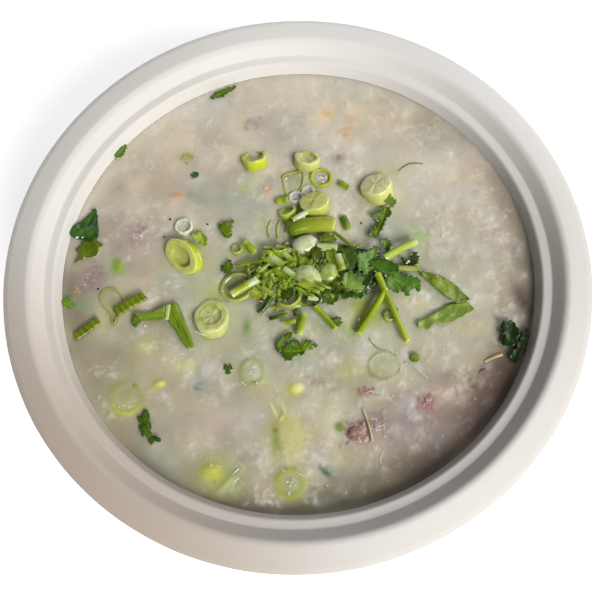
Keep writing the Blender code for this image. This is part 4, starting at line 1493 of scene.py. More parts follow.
# %% Stems from lines of points
def marked_points(name, points, edges, thick, tints):
    """An object of loose points in mm, joined by edges, that carry their own thickness and tint."""
    mesh = bpy.data.meshes.new(name)
    mesh.from_pydata([tuple(c * MM for c in point) for point in points], edges, [])
    mesh.attributes.new("thick", "FLOAT", "POINT").data.foreach_set("value", [t * MM for t in thick])
    mesh.attributes.new("tint", "FLOAT_COLOR", "POINT").data.foreach_set("color", np.array(tints).ravel())
    return show(name, mesh)


def stems(name, rows, skin, streaks=0.2, sides=16, rib_depth=0.1, flatness=0.85):
    """Sweeps every row: a list of (x, y, rise, radius, colour) points, in mm over the congee."""
    points, edges, thick, tints = [], [], [], []
    for row in rows:
        for k, (x, y, rise, radius, colour) in enumerate(row):
            if k:
                edges.append((len(points) - 1, len(points)))
            points.append((x, y, LEVEL + rise))
            thick.append(radius)
            tints.append(linear(colour))
    shape = {"sides": sides, "rib_depth": rib_depth, "flatness": flatness, "streaks": streaks}
    lines = marked_points("stem lines", points, edges, thick, tints)
    return grow(lines, STEM_TREE, name, step=0.0004, skin=skin, streak_seed=4, **shape)


def straight(row):
    """A stem's points from a row: start and end (x, y, rise), radius, bend, and its colours in order."""
    start, end, (radius, bend), colours = Vector(row[:3]), Vector(row[3:6]), row[6:8], row[8:]
    aside = Vector((start.y - end.y, end.x - start.x, 0)) * bend
    made = []
    for k, colour in enumerate(colours):
        share = k / (len(colours) - 1)
        made.append((*(start.lerp(end, share) + aside * math.sin(math.pi * share)), radius, colour))
    return made


print("stems are ready")

# %% [markdown]
# ## Coriander stem
# The stem is crisp, ribbed and full of water, with a waxy skin that gives long narrow highlights. Light
# goes about 1 mm into it. Its skin has rows of cells about 0.6 mm apart.

# %% The long stems
glowing = {"Subsurface_Weight": 0.6, "Subsurface_Scale": 0.0012, "Subsurface_Radius": (0.8, 1.0, 0.35)}
wax = {"Coat_Weight": 0.6, "Coat_Roughness": 0.07}
stem_skin = wet_material("coriander stem", 0.6, 0.4, 0.3, Roughness=0.27, IOR=1.38, **glowing, **wax)[0]
# Each row: node, then x, y, rise, radius and colour of each point on the stem.
LONG_STEMS = table("""
stem_long_right 24 -4 3.6 1.12 c1ce3c 24.5 -5.2 3.5 1.16 a8bb20 26.4 -11.6 2.5 1.03 91aa16 28.6 -19 1.7 0.95
  abbf2c 30.2 -24.6 1.3 0.95 bbc740 30.4 -25.3 1.3 0.77 dfdf7a
stem_long_left 26 -8.8 2.9 0.95 dddc6a 25.4 -9.8 2.9 0.95 b2c728 22.8 -13.2 2.1 0.99 a3bb1e 19.4 -17.4 1.6
  1.03 8da514 16.7 -20.9 1.3 1.07 a0b624 16.4 -21.4 1.3 0.86 d6d86a
stem_pale 26.9 0.9 3.4 1.12 dce88a 27.6 1.3 3.4 1.25 c7da64 32 3.6 2.8 1.2 c2d65a 36 5.2 2.4 1.16 d2e179 37.4
  5.8 2.3 1.03 e0f2b8
stem_low 4.6 -11.8 2.2 0.86 cdd842 5.2 -12.6 2.1 0.95 a8bf1e 7.6 -15.8 1.7 0.99 90aa15 9.6 -18.6 1.4 0.95
  8ba318 9.9 -19.2 1.4 0.77 c1cc45
""")
for node, *row in LONG_STEMS:
    points = [row[k : k + 5] for k in range(0, len(row), 5)]
    settle(stems("long_" + node, [points], stem_skin), "coriander_stem", node)

# %% [markdown]
# ## The wide band of onion
# The band is one layer of a thick onion, rolled up on itself, dark on the left and paler towards its
# right end. It is made as a stem too, only much thicker and with hardly any ribs.

# %% The band
# Points as for the long stems.
# The greens run from dark on the left to pale on the right, the onion's own colours, and all are lowered
# further, a painted shade.
BAND = table("""
-1 13.6 1.9 1.7 617f0a 0.2 14 1.9 2.3 738d11 2.2 14.5 1.9 2.5 82971a 4.4 14.8 1.9 2.5 8fa023 6.4 14.9 1.9 2.5
  99a72b 8 14.8 1.9 2.5 a4af38 10 14.6 1.9 2.5 acb541 12 14.3 1.8 2.45 b7bd4f 13.3 14 1.8 2.3 bfc45e 13.6 13.9
  1.8 1.7 c6c86a
""")[0]
points = [BAND[k : k + 5] for k in range(0, len(BAND), 5)]
band = stems("rolled_band", [points], onion_flesh, 0.04, sides=40, rib_depth=0.01, flatness=0.9)
settle(band, "spring_onion", "onion_band_centre")

# %% [markdown]
# ## The heap in the middle
# The garnish is thickest in the middle: chopped onion tops, torn coriander leaves and stems lie crossed
# on each other. Under them is a low core of wet scraps, which is relief and colour only. On it each
# visible piece is laid one by one, at the height of those below it.

# %% The core of wet scraps
HEAP_X, HEAP_Y = 4.0, -1.0
DARK_SCRAP, OLIVE_SCRAP, PALE_SCRAP = paints("34520f", "7a9826", "b4c26c")


def heap_height(x, y):
    """How high the core of the heap stands over the congee, in mm."""
    u, v = (x - HEAP_X) / 26.0, (y - HEAP_Y) / 11.0
    return 3.4 * np.clip(1 - u * u - v * v, 0, 1) ** 0.7


def heap_painter(x, y):
    """Scraps of leaf and stem: lumps half a millimetre high in greens from nearly black to yellow."""
    scraps = soft_noise(x, y, 1.1, 81)
    lumps = soft_noise(x, y, 2.3, 82)
    share = np.clip(0.42 + 0.30 * scraps + 0.10 * lumps, 0, 1)[:, None]
    paler = np.clip(soft_noise(x, y, 3.1, 83) - 0.7, 0, 1)[:, None]
    # Painted shade: the core darkens towards the right, under the torn leaves.
    shaded = np.clip((x - 2.0) / 14.0, 0, 1)[:, None]
    colour = DARK_SCRAP + (OLIVE_SCRAP - DARK_SCRAP) * share
    colour = (colour + (PALE_SCRAP - colour) * paler * 0.6) * (1 - 0.6 * shaded)
    return LEVEL - 0.6 + heap_height(x, y) + 0.4 * scraps + 0.4 * lumps, colour


angles = np.arange(90) * math.tau / 90
ragged = 1 + 0.05 * ripple(angles, (5, 8, 13, 21), np.random.default_rng(5))
core_x, core_y = HEAP_X + 3.0 + 20.5 * ragged * np.cos(angles), HEAP_Y + 9.6 * ragged * np.sin(angles)
batch = new_batch()
sheet(batch, np.stack([core_x, core_y], 1), heap_painter, thick=0.6, step=0.42)
finish(batch, "heap_core", leaf_skin, "chopped_herbs", "herb_heap")

# %% [markdown]
# ## Onion and stems on the heap
# Short cuts of onion stand between the stems. Coriander stems and onion tops cross over them in all
# directions, each at the height of what it lies on. The stem tree sweeps all of them in one piece.

# %% Cuts of onion and stems on the heap
# Rows as for the cuts round the dish, without a node.
HEAP_CUTS = table("""
-7.4 6 2.4 4.2 1 3.4 46 200 0.8 0 green 0.6 0
-4.4 6.7 2.6 4.6 3.4 2.8 36 80 0.7 0 green 0.5 0
-18 -2.6 -0.7 10.4 8 3.6 9 195 0.9 0 olive 0.4 0
-17.4 10 0.1 3.8 2.6 1.6 14 120 1 0 clear 0.4 0
-2.8 -8 1 7.4 5.8 2.2 14 120 0.92 0 clear 0.5 0
27 -16 -0.4 5.6 3.8 2.4 10 60 0.7 40 clear 0.4 0
2.4 25.6 -0.3 5 3.2 2.4 10 90 0.9 0 grey 0.4 0
6.2 27.6 -0.5 4.4 2.6 2.2 8 60 0.9 0 grey 0.3 0
-31.2 43.6 -1.15 4.4 2.8 2 6 260 0.9 0 clear 0.3 0
-33.3 19.3 0 5.8 4.2 2.2 8 90 1 0 white 0.5 0
32 -30 -0.1 2.9 0 2 14 60 0.85 0 dark 0 0.3
""")
batch = new_batch()
for seed, row in enumerate(HEAP_CUTS):
    onion_cut(batch, row, 100 + seed, steps=56)
finish(batch, "heap_onion_cuts", onion_flesh, "spring_onion")
# Each row: start and end (x, y, rise), radius, bend, colours along it.
HEAP_STEMS = table("""
-20 -5.4 2.4 -11.6 -1.6 3.3 1.3 0 ddee9a cfdf58 b4ca30 cbda4c e5f6c5 d4e48c
-14.8 11.7 1.2 -12 7.7 1.6 1.2 0 d3e37c a2bd1c b4ce28 c7d650
-16.4 11 0.7 -14 10.6 0.8 0.9 0 a4b060 b7c584 a4b060
-18 4 1.2 -9.4 4.4 2.8 0.5 0.03 869b20 98ae2c 7a931c 93a82c
-18 3.2 1 -11 3.2 2.2 0.4 0 758b1c 869e28 698214
-9 8.6 2.6 -4.4 7.4 3.2 0.7 0 d1e18c b7c55c 93a830 c7d674
-5.2 8.6 2.9 -0.6 6.4 3 0.8 0 c3d270 9ab034 d1e18c
-3.4 6.2 3.6 -0.4 2.2 4 0.95 0 b9ca54 d3e38c acc148 779320
-7.6 5.6 3.4 -3.6 1.6 4 1.2 0 c7d668 deefac cfdf80 a7bd40
-9.6 5.4 2.8 -6.8 2.4 3.2 0.9 0 9ab528 b9cc48 88a420
-3.6 0.6 4.2 0 -2.6 4.2 1 0 b4c548 deefac d3e390 88a428
-6.6 0.6 3.6 -2.4 -2.8 3.9 0.95 0 779718 a2bd34 88a824 577a14
-10.4 -0.6 2.6 -4.6 1 3.7 0.9 0 93b02c cbda44 b4ce34 d3e378
-10.6 -2.6 2.1 -5 -2 3 1 0 7aa418 a7bd34 88ac1c a2bd3c
-11.4 1.6 2.2 -8 -0.4 2.8 0.8 0 a7b938 cbda78 93ac2c
-10.8 -7 1.4 -5.4 -4 2.9 0.8 0 acc13c c7d660 a2b92c
-10 -8.4 1 -5.8 -5.6 2.4 0.6 0 65821c 88a42c 65821c
-8.4 -5.4 2.2 -4.2 -4.2 3 0.7 0 4b691c 698624 456114
-8.2 -7.4 2.2 -12.4 -11.8 1 0.95 0.06 304e0e 4b691c 304e0c 658234
-9.4 -13.8 1 -3.6 -13.2 1.4 0.7 0 28430c 45691a 698b28 a2b550
-5.4 -15.7 1.1 -1.5 -15.3 1.2 0.8 0 c6d650 8ca81c a2bd2c d1e180
0.9 -13.4 2 -1.2 -19.8 1.2 1.15 0 b4ca3c 7a9b1c 8cac1e 9ab52c cddc7a
7.2 6.6 3.6 13.2 5.8 3.5 1.35 0.02 deefb4 d4e49a cfdf8c daeaae
12.4 12.2 1.9 18.9 5.2 2.2 0.55 0 93a828 7a9320 88a028 708b1c
18.4 5.6 2.2 20.9 6.8 2.2 0.5 0 708b1c 88a028 a2b544
12.9 3.4 3.8 13.9 -1.6 3.5 1.3 0 d3e3ae c0ce7c b7c56c 93b52c c3d264
29.4 -1.9 1.9 36.6 -2.8 1.5 0.85 0 a2b550 b7c55c c0ce68 acb94c
36.2 -1.4 1.4 37.6 -5 1.2 0.6 0 acb950 9aac44 7a9334
0.4 -4.8 4.4 6.4 -8.2 3.7 0.65 0 a2bd28 c2d634 88a420 d1e168
1.8 -4 4.8 7.8 -7.6 4 0.6 0 77971c b0cc2c 88a420 c6d650
3 -3.4 4.8 8.6 -6.8 4 0.5 0 698618 a2bd34 779320 b4c544
-0.6 -5.8 3.9 4.6 -9 3.3 0.6 0 7a9b1c a2bd2c 698b18 b4c544
2.8 -8.8 2.4 7 -9.8 2.2 0.9 0 dcedbc eafcca d5e5b4
1.4 3.6 3.2 4.8 1.2 3.6 1.1 0 779318 a7c138 698614 9ab52c
-0.6 6.6 3 0.4 2.4 3.4 0.7 0 658618 88a820 779318
-4.6 -2.8 3.4 -1 -4 3.6 0.8 0 658b20 88ac34 658b20
0.6 16.6 3 5.2 19 3.1 0.95 0 cbda6c e7f8b8 ebfdc8 dff0ac
-0.4 15.8 2.4 4.4 18 2.6 0.9 0 9aac1c b4c538 cbda6c c0ce58
16.1 17.2 0.7 17.4 12.7 0.8 1.25 0 6c8c1c 5a7a14 7c9a24 a4b84c
-4 24.8 0.6 -0.2 25.2 0.8 1.2 0 9ab51c bace34 88a418 cfdf6c
16.4 29.4 0.4 19 27 0.5 1.05 0 779314 acbd34 88a41c
-7 13 -0.3 -6 19 -0.25 0.5 0.12 bcca88 c7d69c b7c584
-4.4 12.6 -0.3 -3.2 18.6 -0.2 0.6 0.1 b7c574 c9d894 bac880
-1.6 13.6 0.6 -1.4 18 0.7 0.7 -0.1 b3c168 c3d288 acb960
35.6 31.6 -0.15 43.6 33.2 -0.1 0.26 0.16 a8b584 809154 778b48 889b60 b0bd90
19.4 -22.6 -0.15 23.9 -27.1 -0.1 0.26 -0.12 b7c578 a8b55c b0bd68 c0ce8c
23.4 -3 3.4 25.2 -5.2 3.4 0.4 0 e3f4b0 d3e38c
""")
rows = [straight(row) for row in HEAP_STEMS]
settle(stems("heap_stems", rows, stem_skin, 0.3, rib_depth=0.22, flatness=0.62), "coriander_stem")

# %% [markdown]
# ## Chopped scraps
# Bits of stem and leaf a few millimetres long lie between the listed pieces, mostly on the left,
# where the chopped stems are. Seeded chance places them, each a short stem with two greens.

# %% Scraps
SCRAP_GREENS = "8fac2c a8bf3c 7c9c24 b8c85c c8d480 96b034 5c7c1c b0c04c 648420".split()
SCRAPS = 230
scraps = []
dice = np.random.default_rng(19)
for scrap in range(SCRAPS):
    x, y = dice.normal(-2.0, 7.5), dice.normal(-1.0, 5.0)
    if (x + 1.0) ** 2 / 210 + (y + 1.0) ** 2 / 110 > 1:
        continue
    way, long = dice.uniform(0, math.pi), dice.uniform(0.6, 2.0)
    dx, dy, dz = long * math.cos(way), long * math.sin(way), dice.uniform(-0.5, 0.5)
    rise = float(heap_height(x, y)) + dice.uniform(-0.6, 0.6)
    radius = dice.uniform(0.25, 0.75)
    first, second = (SCRAP_GREENS[i] for i in dice.integers(0, len(SCRAP_GREENS), 2))
    scraps.append([(x - dx, y - dy, rise - dz, radius, first), (x + dx, y + dy, rise + dz, radius, second)])
bits = stems("chopped_scraps", scraps, stem_skin, 0.3, sides=8, rib_depth=0.2, flatness=0.5)
settle(bits, "chopped_herbs")

# %% [markdown]
# ## Torn leaves
# Torn leaves cover the right half of the heap, and a few lie alone round the dish. Their teeth are
# deeper than those of the whole leaves, as a tear follows the lobes.

# %% Torn leaves on the heap
# Each row: stalk end, greens (dark, light, vein), rise, tilt per mm, cup, corners of the outline.
TORN_LEAVES = table("""
-19.5 14.2 4a620e 6a8c13 92a81a 0.8 0 0.03 0.5 -17.5 19.5 -19.8 19 -22.8 18.2 -20.5 14 -18.9 14 -18.5 18.2
-20.3 2 40590d 5d8112 7b9718 0.8 0 0 0.4 -20 6.6 -18.8 4.2 -20.4 1.8 -22 3 -22.7 4 -21.4 4.8
-27.4 12.4 7b9716 a8c028 d0dc50 0.9 0.03 0 1 -31 15.5 -28.5 17.2 -26.3 14.2 -26.8 11.8 -30.2 13.8
-28.8 36.4 406227 5d8133 5d8133 0.2 0 0 0.3 -28.9 38.6 -27.6 37.4 -28.6 36.2 -30.2 37
-53.8 46.6 506f14 7a9726 9cb13b 1.3 0 0.05 0.5 -54.6 48.2 -52.6 49.6 -50.4 50.2 -50.7 48.2 -51.6 46.2 -53.2
  45.9 -54.4 46.4
-67.4 -1.6 577c1a 7ba025 7ba025 0 -0.14 0 0.3 -71.2 -0.8 -69.4 0.2 -66.6 -0.4 -67.4 -2.8 -69.8 -3.6 -71.4 -2.6
-22.6 -29 406216 5d811f 5d811f 0.2 0 0 0.2 -23.8 -26.6 -21.4 -27 -22.6 -29.4
-9 -5 8ca01c b4c22c d0d648 1.5 0.05 0 0.3 -13.6 -3.8 -9.4 -3.6 -8.6 -6.2 -12.8 -7.2 -14.6 -5.8
8.4 8.6 546b1a 7e9225 afb634 2.9 0 0.04 0.6 8.2 9.9 10.4 10.8 13 9.6 12.4 7.9 9.2 7.7
6.8 1 405015 64781e 92a02d 3.6 0.05 0 0.6 5.6 6.4 7.8 6 8.6 2.8 7.2 0.6 5.4 2.4 5 4.4
7.6 -2.8 3d5015 5d741d 88972d 3.4 0 0.03 0.6 6.4 0.4 8.8 0.6 9.4 -2 7.2 -3.2 5.8 -1.6
11 1.2 546d15 7b971d afba29 3.3 0.02 0.04 0.7 9.6 5.4 12.4 4.8 12.8 1.4 10.4 0.8 9.2 3
16.2 -0.8 436220 5d7c29 7e9b33 3.2 0.03 0 0.6 14.6 5.6 17.6 5 18.8 1.6 16.8 -1.2 14.8 -0.4 14.4 3
14.2 -7.4 547a2c 92af52 b7c763 3.4 0 0.08 0.8 13.9 -3.6 15.4 -2.4 17 -3.2 18.8 -5.6 19.6 -8.4 18 -9.2 16 -8.4
  14.6 -7.6 13.4 -6.4
16 -10.2 2c4c13 436d19 5d852a 2.1 0 0.02 0.4 13.2 -6.2 14.8 -7.4 17.4 -8.2 19.6 -8.4 19.2 -10.4 16.2 -10.6
  13.4 -9
24.6 4.6 507a2e 739941 8faf4c 3.2 -0.02 -0.02 0.5 18.9 2.9 21.6 3.4 24.8 5.2 25.4 4.2 24 0.6 23.2 -1.4 20.8
  -3.6 18.6 -1.6
22 -2.6 304818 4c6620 6a852e 2.6 0.02 0.04 0.5 18 -2 20.6 -3.4 22.6 -2.2 22.4 -5.4 21.2 -7.4 18.4 -6.6 17.2
  -4.4
23 -0.6 305015 4a741d 678e29 3 -0.03 0.05 0.5 22.6 0.6 25.4 0.4 28.4 -0.2 30.8 -2.4 29.6 -5.2 27 -4.6 24.4
  -3.4 22.4 -1.8
27 -4.4 406920 649031 88a840 2.4 -0.02 0.06 0.7 26.4 -3.4 29.6 -3.6 32.2 -5.4 36.2 -6.8 36.6 -8.6 36 -10.6
  34.8 -9.4 33.4 -9.6 32.2 -11.6 31.4 -10.4 31 -9 29.4 -10.2 27.8 -9.2 26.6 -7.4
27.6 3.2 4a6f1f 73902c afba4c 2 0.04 0 1 26.2 7.2 28.2 7.8 29.6 6.2 28.8 3.6 27.2 2.8 28 5
32.8 0.6 253a14 405b1b 5d782a 1 0 0.1 0.6 32.2 1.6 34.2 0.2 36.6 2.6 37.4 0.6 36.6 -1.2 34.6 -1.6 32.8 -0.4
-2 -9 2c3f0c 496213 6a811a 2.6 0 0.03 0.6 -5.4 -5.2 -2.2 -5 -1.2 -7.6 -2.6 -9.4 -5 -8.8
-4.4 -4.4 648e13 8fb11d b7cc2a 3.4 0 0.02 0.5 -4.6 -3.4 -2.2 -2.8 -0.6 -4 -2 -5.2 -4.2 -5
4 -11 2f480c 4a6612 7b8e1d 1.9 0 0.05 1 2 -7.6 5.6 -7.8 6.6 -10.2 4.2 -11.4 1.8 -10.2
9.2 -11.2 36510d 577614 889b21 1.7 0 0.05 1 7.6 -8.2 11.2 -8.4 11.6 -10.6 9.2 -11.6 7.2 -10.4
9.2 -16.4 3d5b0d 5d8112 8fa41b 1.6 0 0.02 0.6 8.8 -16 11.4 -15.8 11.8 -18 10.2 -18.6
31.4 18.6 6c8a31 98ac48 bcc860 1.9 0 0.06 0.6 28 21.8 31 22.4 33.2 19.6 31.6 18.2 30.4 19.8
""")
batch = new_batch()
for seed, row in enumerate(TORN_LEAVES):
    outline = anticlockwise(np.reshape(row[9:], (-1, 2)))
    painter = leaf_painter(outline, row, 100 + seed)
    sheet(batch, toothed(outline, 1.3, 0.6, 200 + seed), painter, thick=0.28)
finish(batch, "heap_leaves", leaf_skin, "coriander_leaf")

# %% [markdown]
# ## Minced pork, ginger and other bits
# Boiled mince is grey-pink and crumbly, mostly under the congee, with a few wet lumps above it. Ginger is cut
# into thin shreds that keep their straight fibres. Each lump is a rounded body pushed in and out by
# noise, and the same noise makes the dips darker than the bumps.


# %% Lumps
def lump(batch, row, seed, rough):
    """A closed crumb from a row: x, y, rise, length, width, height, colours of dips and bumps, turn."""
    x, y, rise, *size, dips, bumps, turn = row
    low, high = paints(dips, bumps)
    rings, steps = 22, 36
    polar = np.linspace(0, math.pi, rings + 2)[1:-1]
    around = np.arange(steps) * math.tau / steps
    p, a = np.meshgrid(polar, around, indexing="ij")
    way = np.stack([np.sin(p) * np.cos(a), np.sin(p) * np.sin(a), np.cos(p)], -1).reshape(-1, 3)
    way = np.concatenate([way, [[0, 0, 1], [0, 0, -1]]])
    u, v, w = (way * max(size)).T
    swell = soft_noise(u + 7 * seed, v + w * 0.7, 2.2, 300 + seed)
    grit = soft_noise(u - 3 * seed, v - w, 0.8, 320 + seed)
    points = way * (1 + rough * swell + rough * 0.5 * grit)[:, None] * np.array(size) / 2
    share = np.clip(0.5 + 0.35 * swell + 0.2 * grit, 0, 1)[:, None]
    faces = [(a, d, c, b) for a, b, c, d in ring_faces(rings, steps)]
    top, bottom, last = len(way) - 2, len(way) - 1, (rings - 1) * steps
    faces += [(top, i, (i + 1) % steps) for i in range(steps)]
    faces += [(bottom, last + (i + 1) % steps, last + i) for i in range(steps)]
    add_to(batch, points, faces, low + (high - low) * share, stand(x, y, rise, spin=turn))


def lumps(name, text, material, slot, first_seed, rough):
    """One piece of all the lumps in a table."""
    batch = new_batch()
    for seed, row in enumerate(table(text), first_seed):
        lump(batch, row, seed, rough)
    finish(batch, name, material, slot)


print("lumps are ready")

# %% [markdown]
# ## Boiled mince
# Boiled pork is wet, dense and slightly see-through. The surface is grainy, with crumbs about 0.6 mm
# across, under a film of starch. The pale pieces on the heap are lumps of onion bulb, much smoother.

# %% Lumps in their places
dense = {"Subsurface_Weight": 0.4, "Subsurface_Scale": 0.0012, "Subsurface_Radius": (1.0, 0.5, 0.4)}
meat_skin = wet_material("boiled minced pork", 0.6, 0.6, 0.4, 3.0, Roughness=0.28, IOR=1.38, **dense)[0]
# Each row: x, y, rise, length, width, height, colours (dips, bumps), turn.
BULB_PIECES = """
3.6 8.4 1.8 8.4 6.4 4.6 c8d29c dde2c8 10
3.4 -2.4 3 9 7 4.6 b4c470 d6ddb4 -35
9.6 -1.6 2.6 6.4 6 4 9aac4c bcc980 60
"""
# The crumb at 51, -36 lies in the rim's shadow, and its darker colours are a painted shade over the meat's
# own.
CRUMBS = """
12.2 -50.2 -1.35 6.2 5.4 3.8 94746a b8958a 20
14.6 -48.2 -1.35 4.2 3.6 3 a07c72 c4a094 60
14.4 -52 -1.25 3.8 3.2 2.8 a88478 cdaea2 10
18.6 -48.6 -1.35 5 4.4 3.2 a08680 c2aaa4 40
21 -46.8 -1.45 3.2 2.6 2.8 ac948e ccb8b2 0
17.2 -38.4 -1.2 4.6 2.8 2.6 a87e74 c89e92 8
15.2 -38 -1.15 2.4 2 2.4 b08a80 cba69c 0
32.6 -43.6 -1.25 2.8 2.6 2.8 a87a74 c89c96 0
34.4 -42.8 -1.3 2.8 2.4 2.8 b0847c d0a69e 0
51 -36 -1.4 4.6 3.4 3 7c6056 94786c 30
"""
# Rows of the same kind, after the node.
# mince_right lies in the rim's shadow, and its darker colours are a painted shade over the meat's own.
MINCE = table("""
mince_front 13.2 -49.8 -2.05 8 6.6 4.6 a8837a cfb0a6 20
mince_right 50.6 -39.4 -3.1 13 8.6 5.6 6c5248 8a7064 40
""")
lumps("bulb_pieces", BULB_PIECES, onion_flesh, "spring_onion", 60, 0.018)
for seed, (node, *row) in enumerate(MINCE):
    batch = new_batch()
    lump(batch, row, seed, 0.04)
    finish(batch, "lump_" + node, meat_skin, "boiled_mince", node)
lumps("meat_crumbs", CRUMBS, meat_skin, "boiled_mince", 70, 0.07)

# %% [markdown]
# ## Fibres and shreds
# Boiled mince falls apart into short fibres that lie in the starch, so chance strews them over a few
# patches. The shreds of ginger are listed one by one.

# %% Fibres of meat and shreds of ginger
# Each row: x, y, half length, half width, turn, count, colours.
FIBRE_PATCHES = table("""
12.4 -50.2 4.4 3.6 20 20 c09c92 a4807a cfb4aa 9a7468 d8c2b8
19 -48.2 3.2 3.4 60 11 c4aea8 ae948e d2c2bc dcd0cc
17.2 -38.6 2.6 1.4 8 8 c49c94 b4887e d2aca4
33.6 -43.2 2.6 2.2 30 11 bc8e88 aa807a cea49e dcc0bc
""")
fibres = []
dice = np.random.default_rng(31)
for x, y, length, width, turn, count, *words in FIBRE_PATCHES:
    for k in range(int(count)):
        spot_x, spot_y = beside(x, y, turn, length * dice.normal(0, 0.45), width * dice.normal(0, 0.45))
        way, long = dice.uniform(0, math.pi), dice.uniform(0.3, 1.1)
        dx, dy, radius = long * math.cos(way), long * math.sin(way), dice.uniform(0.22, 0.42)
        rise = float(surface_height(spot_x, spot_y)) - LEVEL + dice.uniform(-0.8, -0.3) * radius
        colour = words[k % len(words)]
        fibres.append([(spot_x + dx * end, spot_y + dy * end, rise, radius, colour) for end in (-1, 1)])
frayed = stems("meat_fibres", fibres, meat_skin, 0.1, sides=6, rib_depth=0.1)
settle(frayed, "boiled_mince")
# Rows as for the stems on the heap.
SHREDS = table("""
15.2 -43.8 0.1 16.7 -53.2 0.5 0.34 0.03 e6d2b0 dcc298 d4b88c dcc49c e6d4b2
19.4 -56 -0.2 19.2 -61.6 -0.2 0.22 -0.18 dacdbc e2d6c4 dacdbc
19 -61.8 -0.2 16.6 -65.4 -0.2 0.22 -0.1 dacdbc d4c8b4 ccc0ac
13.4 -58.4 -0.25 14.4 -64 -0.25 0.18 0.12 d0c4b0 d8ccb8 c8bca8
31.2 -32.6 -0.1 34.6 -36.4 -0.1 0.28 0.05 dcd6be e4e0cc d8d2ba
51.9 -33.2 -0.2 57.4 -31.6 -0.1 0.5 0.03 c8b888 bfae7c c4b48c d0c098
""")
shreds = stems("ginger_shreds", [straight(row) for row in SHREDS], meat_skin, 0.1, sides=8, rib_depth=0.05)
settle(shreds, "rice_congee")

# %% [markdown]
# ## Bubbles and wet drops
# Stirring traps small bubbles in the starch, and drops of it cling to the garnish. Each takes the starch's
# tint lightened towards white, a painted highlight, so that it shows as one bright speck. A tree puts a
# flattened ball on every point of a mesh, with the point's own size, so a few listed drops and some hundreds
# of seeded bubbles are made in the same way.

# %% Clear starch film and the tree of balls
# Painted highlights: the balls and streaks made with this film take light tints, the streaks pure white.
highlight_starch, shading, shader = start_material("clear starch film", Roughness=0.3, IOR=1.4)
painted = add_node(shading, "ShaderNodeAttribute", attribute_name="tint")
shading.links.new(painted.outputs["Color"], shader.inputs["Base Color"])
tree, given = start_tree("bubbles", [("Height Share", "Float", 0.7)])
ball = add_node(tree, "GeometryNodeMeshUVSphere", {"Segments": 10, "Rings": 6, "Radius": 1.0})
size = add_node(tree, "GeometryNodeInputNamedAttribute", {"Name": "thick"}, data_type="FLOAT")
flat = add_node(tree, "ShaderNodeCombineXYZ", {"X": 1.0, "Y": 1.0, "Z": given["Height Share"]})
scaled = add_node(tree, "ShaderNodeVectorMath", {0: flat, "Scale": size}, operation="SCALE")
each = {"Points": given["Geometry"], "Instance": ball, "Scale": scaled}
balls = add_node(tree, "GeometryNodeInstanceOnPoints", each)
end_tree(tree, balls, highlight_starch)

# %% Drops and glints, listed
# Four numbers for each drop: x, y, rise, radius.
DROPS = np.reshape(table("""
-66.6 19 1.2 0.7 -64.9 18.8 1.3 0.5 -60 17.4 1.2 0.3 -46.6 -11.8 0.1 0.6 -36 -21.6 0.1 0.5 -51.8 -36.4 0.3
  0.35 -50.4 -36 0.3 0.3 -7.6 17.2 0.5 0.3 -5.6 19.4 0.6 0.3 -4.6 11.6 0.5 0.35 -2.2 11.8 0.5 0.3 -7 29.8 0.4
  0.4 22.8 -27.6 0.3 0.3 24.4 -27.2 0.3 0.3 27 -27.8 0.3 0.35 29.2 -31.6 0.3 0.4 24.6 -33.4 0.3 0.35 17.2
  -16.8 0.9 0.45 14.6 -11 1.2 0.4 26.4 -5.2 4.3 0.4 34.2 -0.2 1.6 0.7 33.6 -0.7 1.6 0.5 38.8 -4 1.4 0.35 39.6
  -4.6 2.9 0.3 41.8 -6.4 3 0.3 -18 -3.6 2.6 0.4 -12.4 -1.6 4.3 0.35 -22.6 -3.8 1.6 0.35 40.6 -28.4 0.2 0.4
  45.8 7.6 0.1 0.6 23.8 23.4 0.3 0.5 22.6 22 0.3 0.35 13.2 -53 1 0.5 20.4 -52.2 0.6 0.4 17.8 -54.6 0.5 0.35
  12.4 31.4 0.9 0.55 11.2 30 0.9 0.5 10.6 31.6 0.9 0.4 4.2 33 1.4 0.35 -15.2 -28 0.6 0.5 -16.4 -29.8 0.2 0.4
  -6.4 -62 0.2 0.4 -28 -12.2 1.4 0.5 -26.2 -13.4 1.4 0.4 -27 -10.6 1.4 0.35 2.2 25.6 0.5 0.5 1 26.4 0.5 0.4 3
  27 0.5 0.35
""")[0], (-1, 4)).tolist()
# Wet glints, as balls whose light tint is a painted highlight. Each row: x, y, half length, half width, turn,
# count, size.
SPARKLES = table("""
-52.8 -36 2.2 0.5 0 5 0.24
-27.6 -55.5 1.8 0.4 -10 4 0.24
-7 -61.9 1.5 1.3 30 7 0.26
-4.6 -60.2 1.4 0.3 -20 4 0.24
-8.2 -65.2 0.5 1 0 4 0.24
-8.8 -58.8 0.9 0.3 0 3 0.24
-15.6 -29.2 1.1 1.3 90 7 0.24
-13.8 -32.4 1 0.5 20 5 0.24
-18.6 -32 1.4 0.6 -30 4 0.22
21.8 -27.8 1.4 0.3 30 4 0.24
25.6 -27.8 0.3 0.8 0 3 0.24
23.6 -35.5 0.9 0.3 0 4 0.24
28 -32.4 0.5 1 10 4 0.24
22.6 -30.6 1.6 1.4 0 4 0.18
-0.5 32.4 0.8 0.5 40 7 0.27
-0.5 27.4 0.5 0.8 0 4 0.24
10.8 31.6 1.2 1.2 0 15 0.34
-55.7 -5.5 0.5 1.2 60 3 0.24
13.8 -52 2 0.9 10 7 0.29
19 -49.4 1.2 1.6 60 9 0.29
19.2 -38.8 1 0.9 20 5 0.24
34.2 -43.6 1.6 1.6 20 9 0.24
-47.8 18.6 1.8 3 60 10 0.24
-63.4 5.8 2.4 2.4 30 6 0.21
-6 30.6 0.7 0.5 0 5 0.26
-66.8 2.6 0.5 0.4 0 3 0.19
23.4 -40.2 1 0.5 -30 3 0.24
61.3 24.2 1 1.8 0 9 0.16
""")
print(f"{len(DROPS)} drops, {len(SPARKLES)} groups of glints")

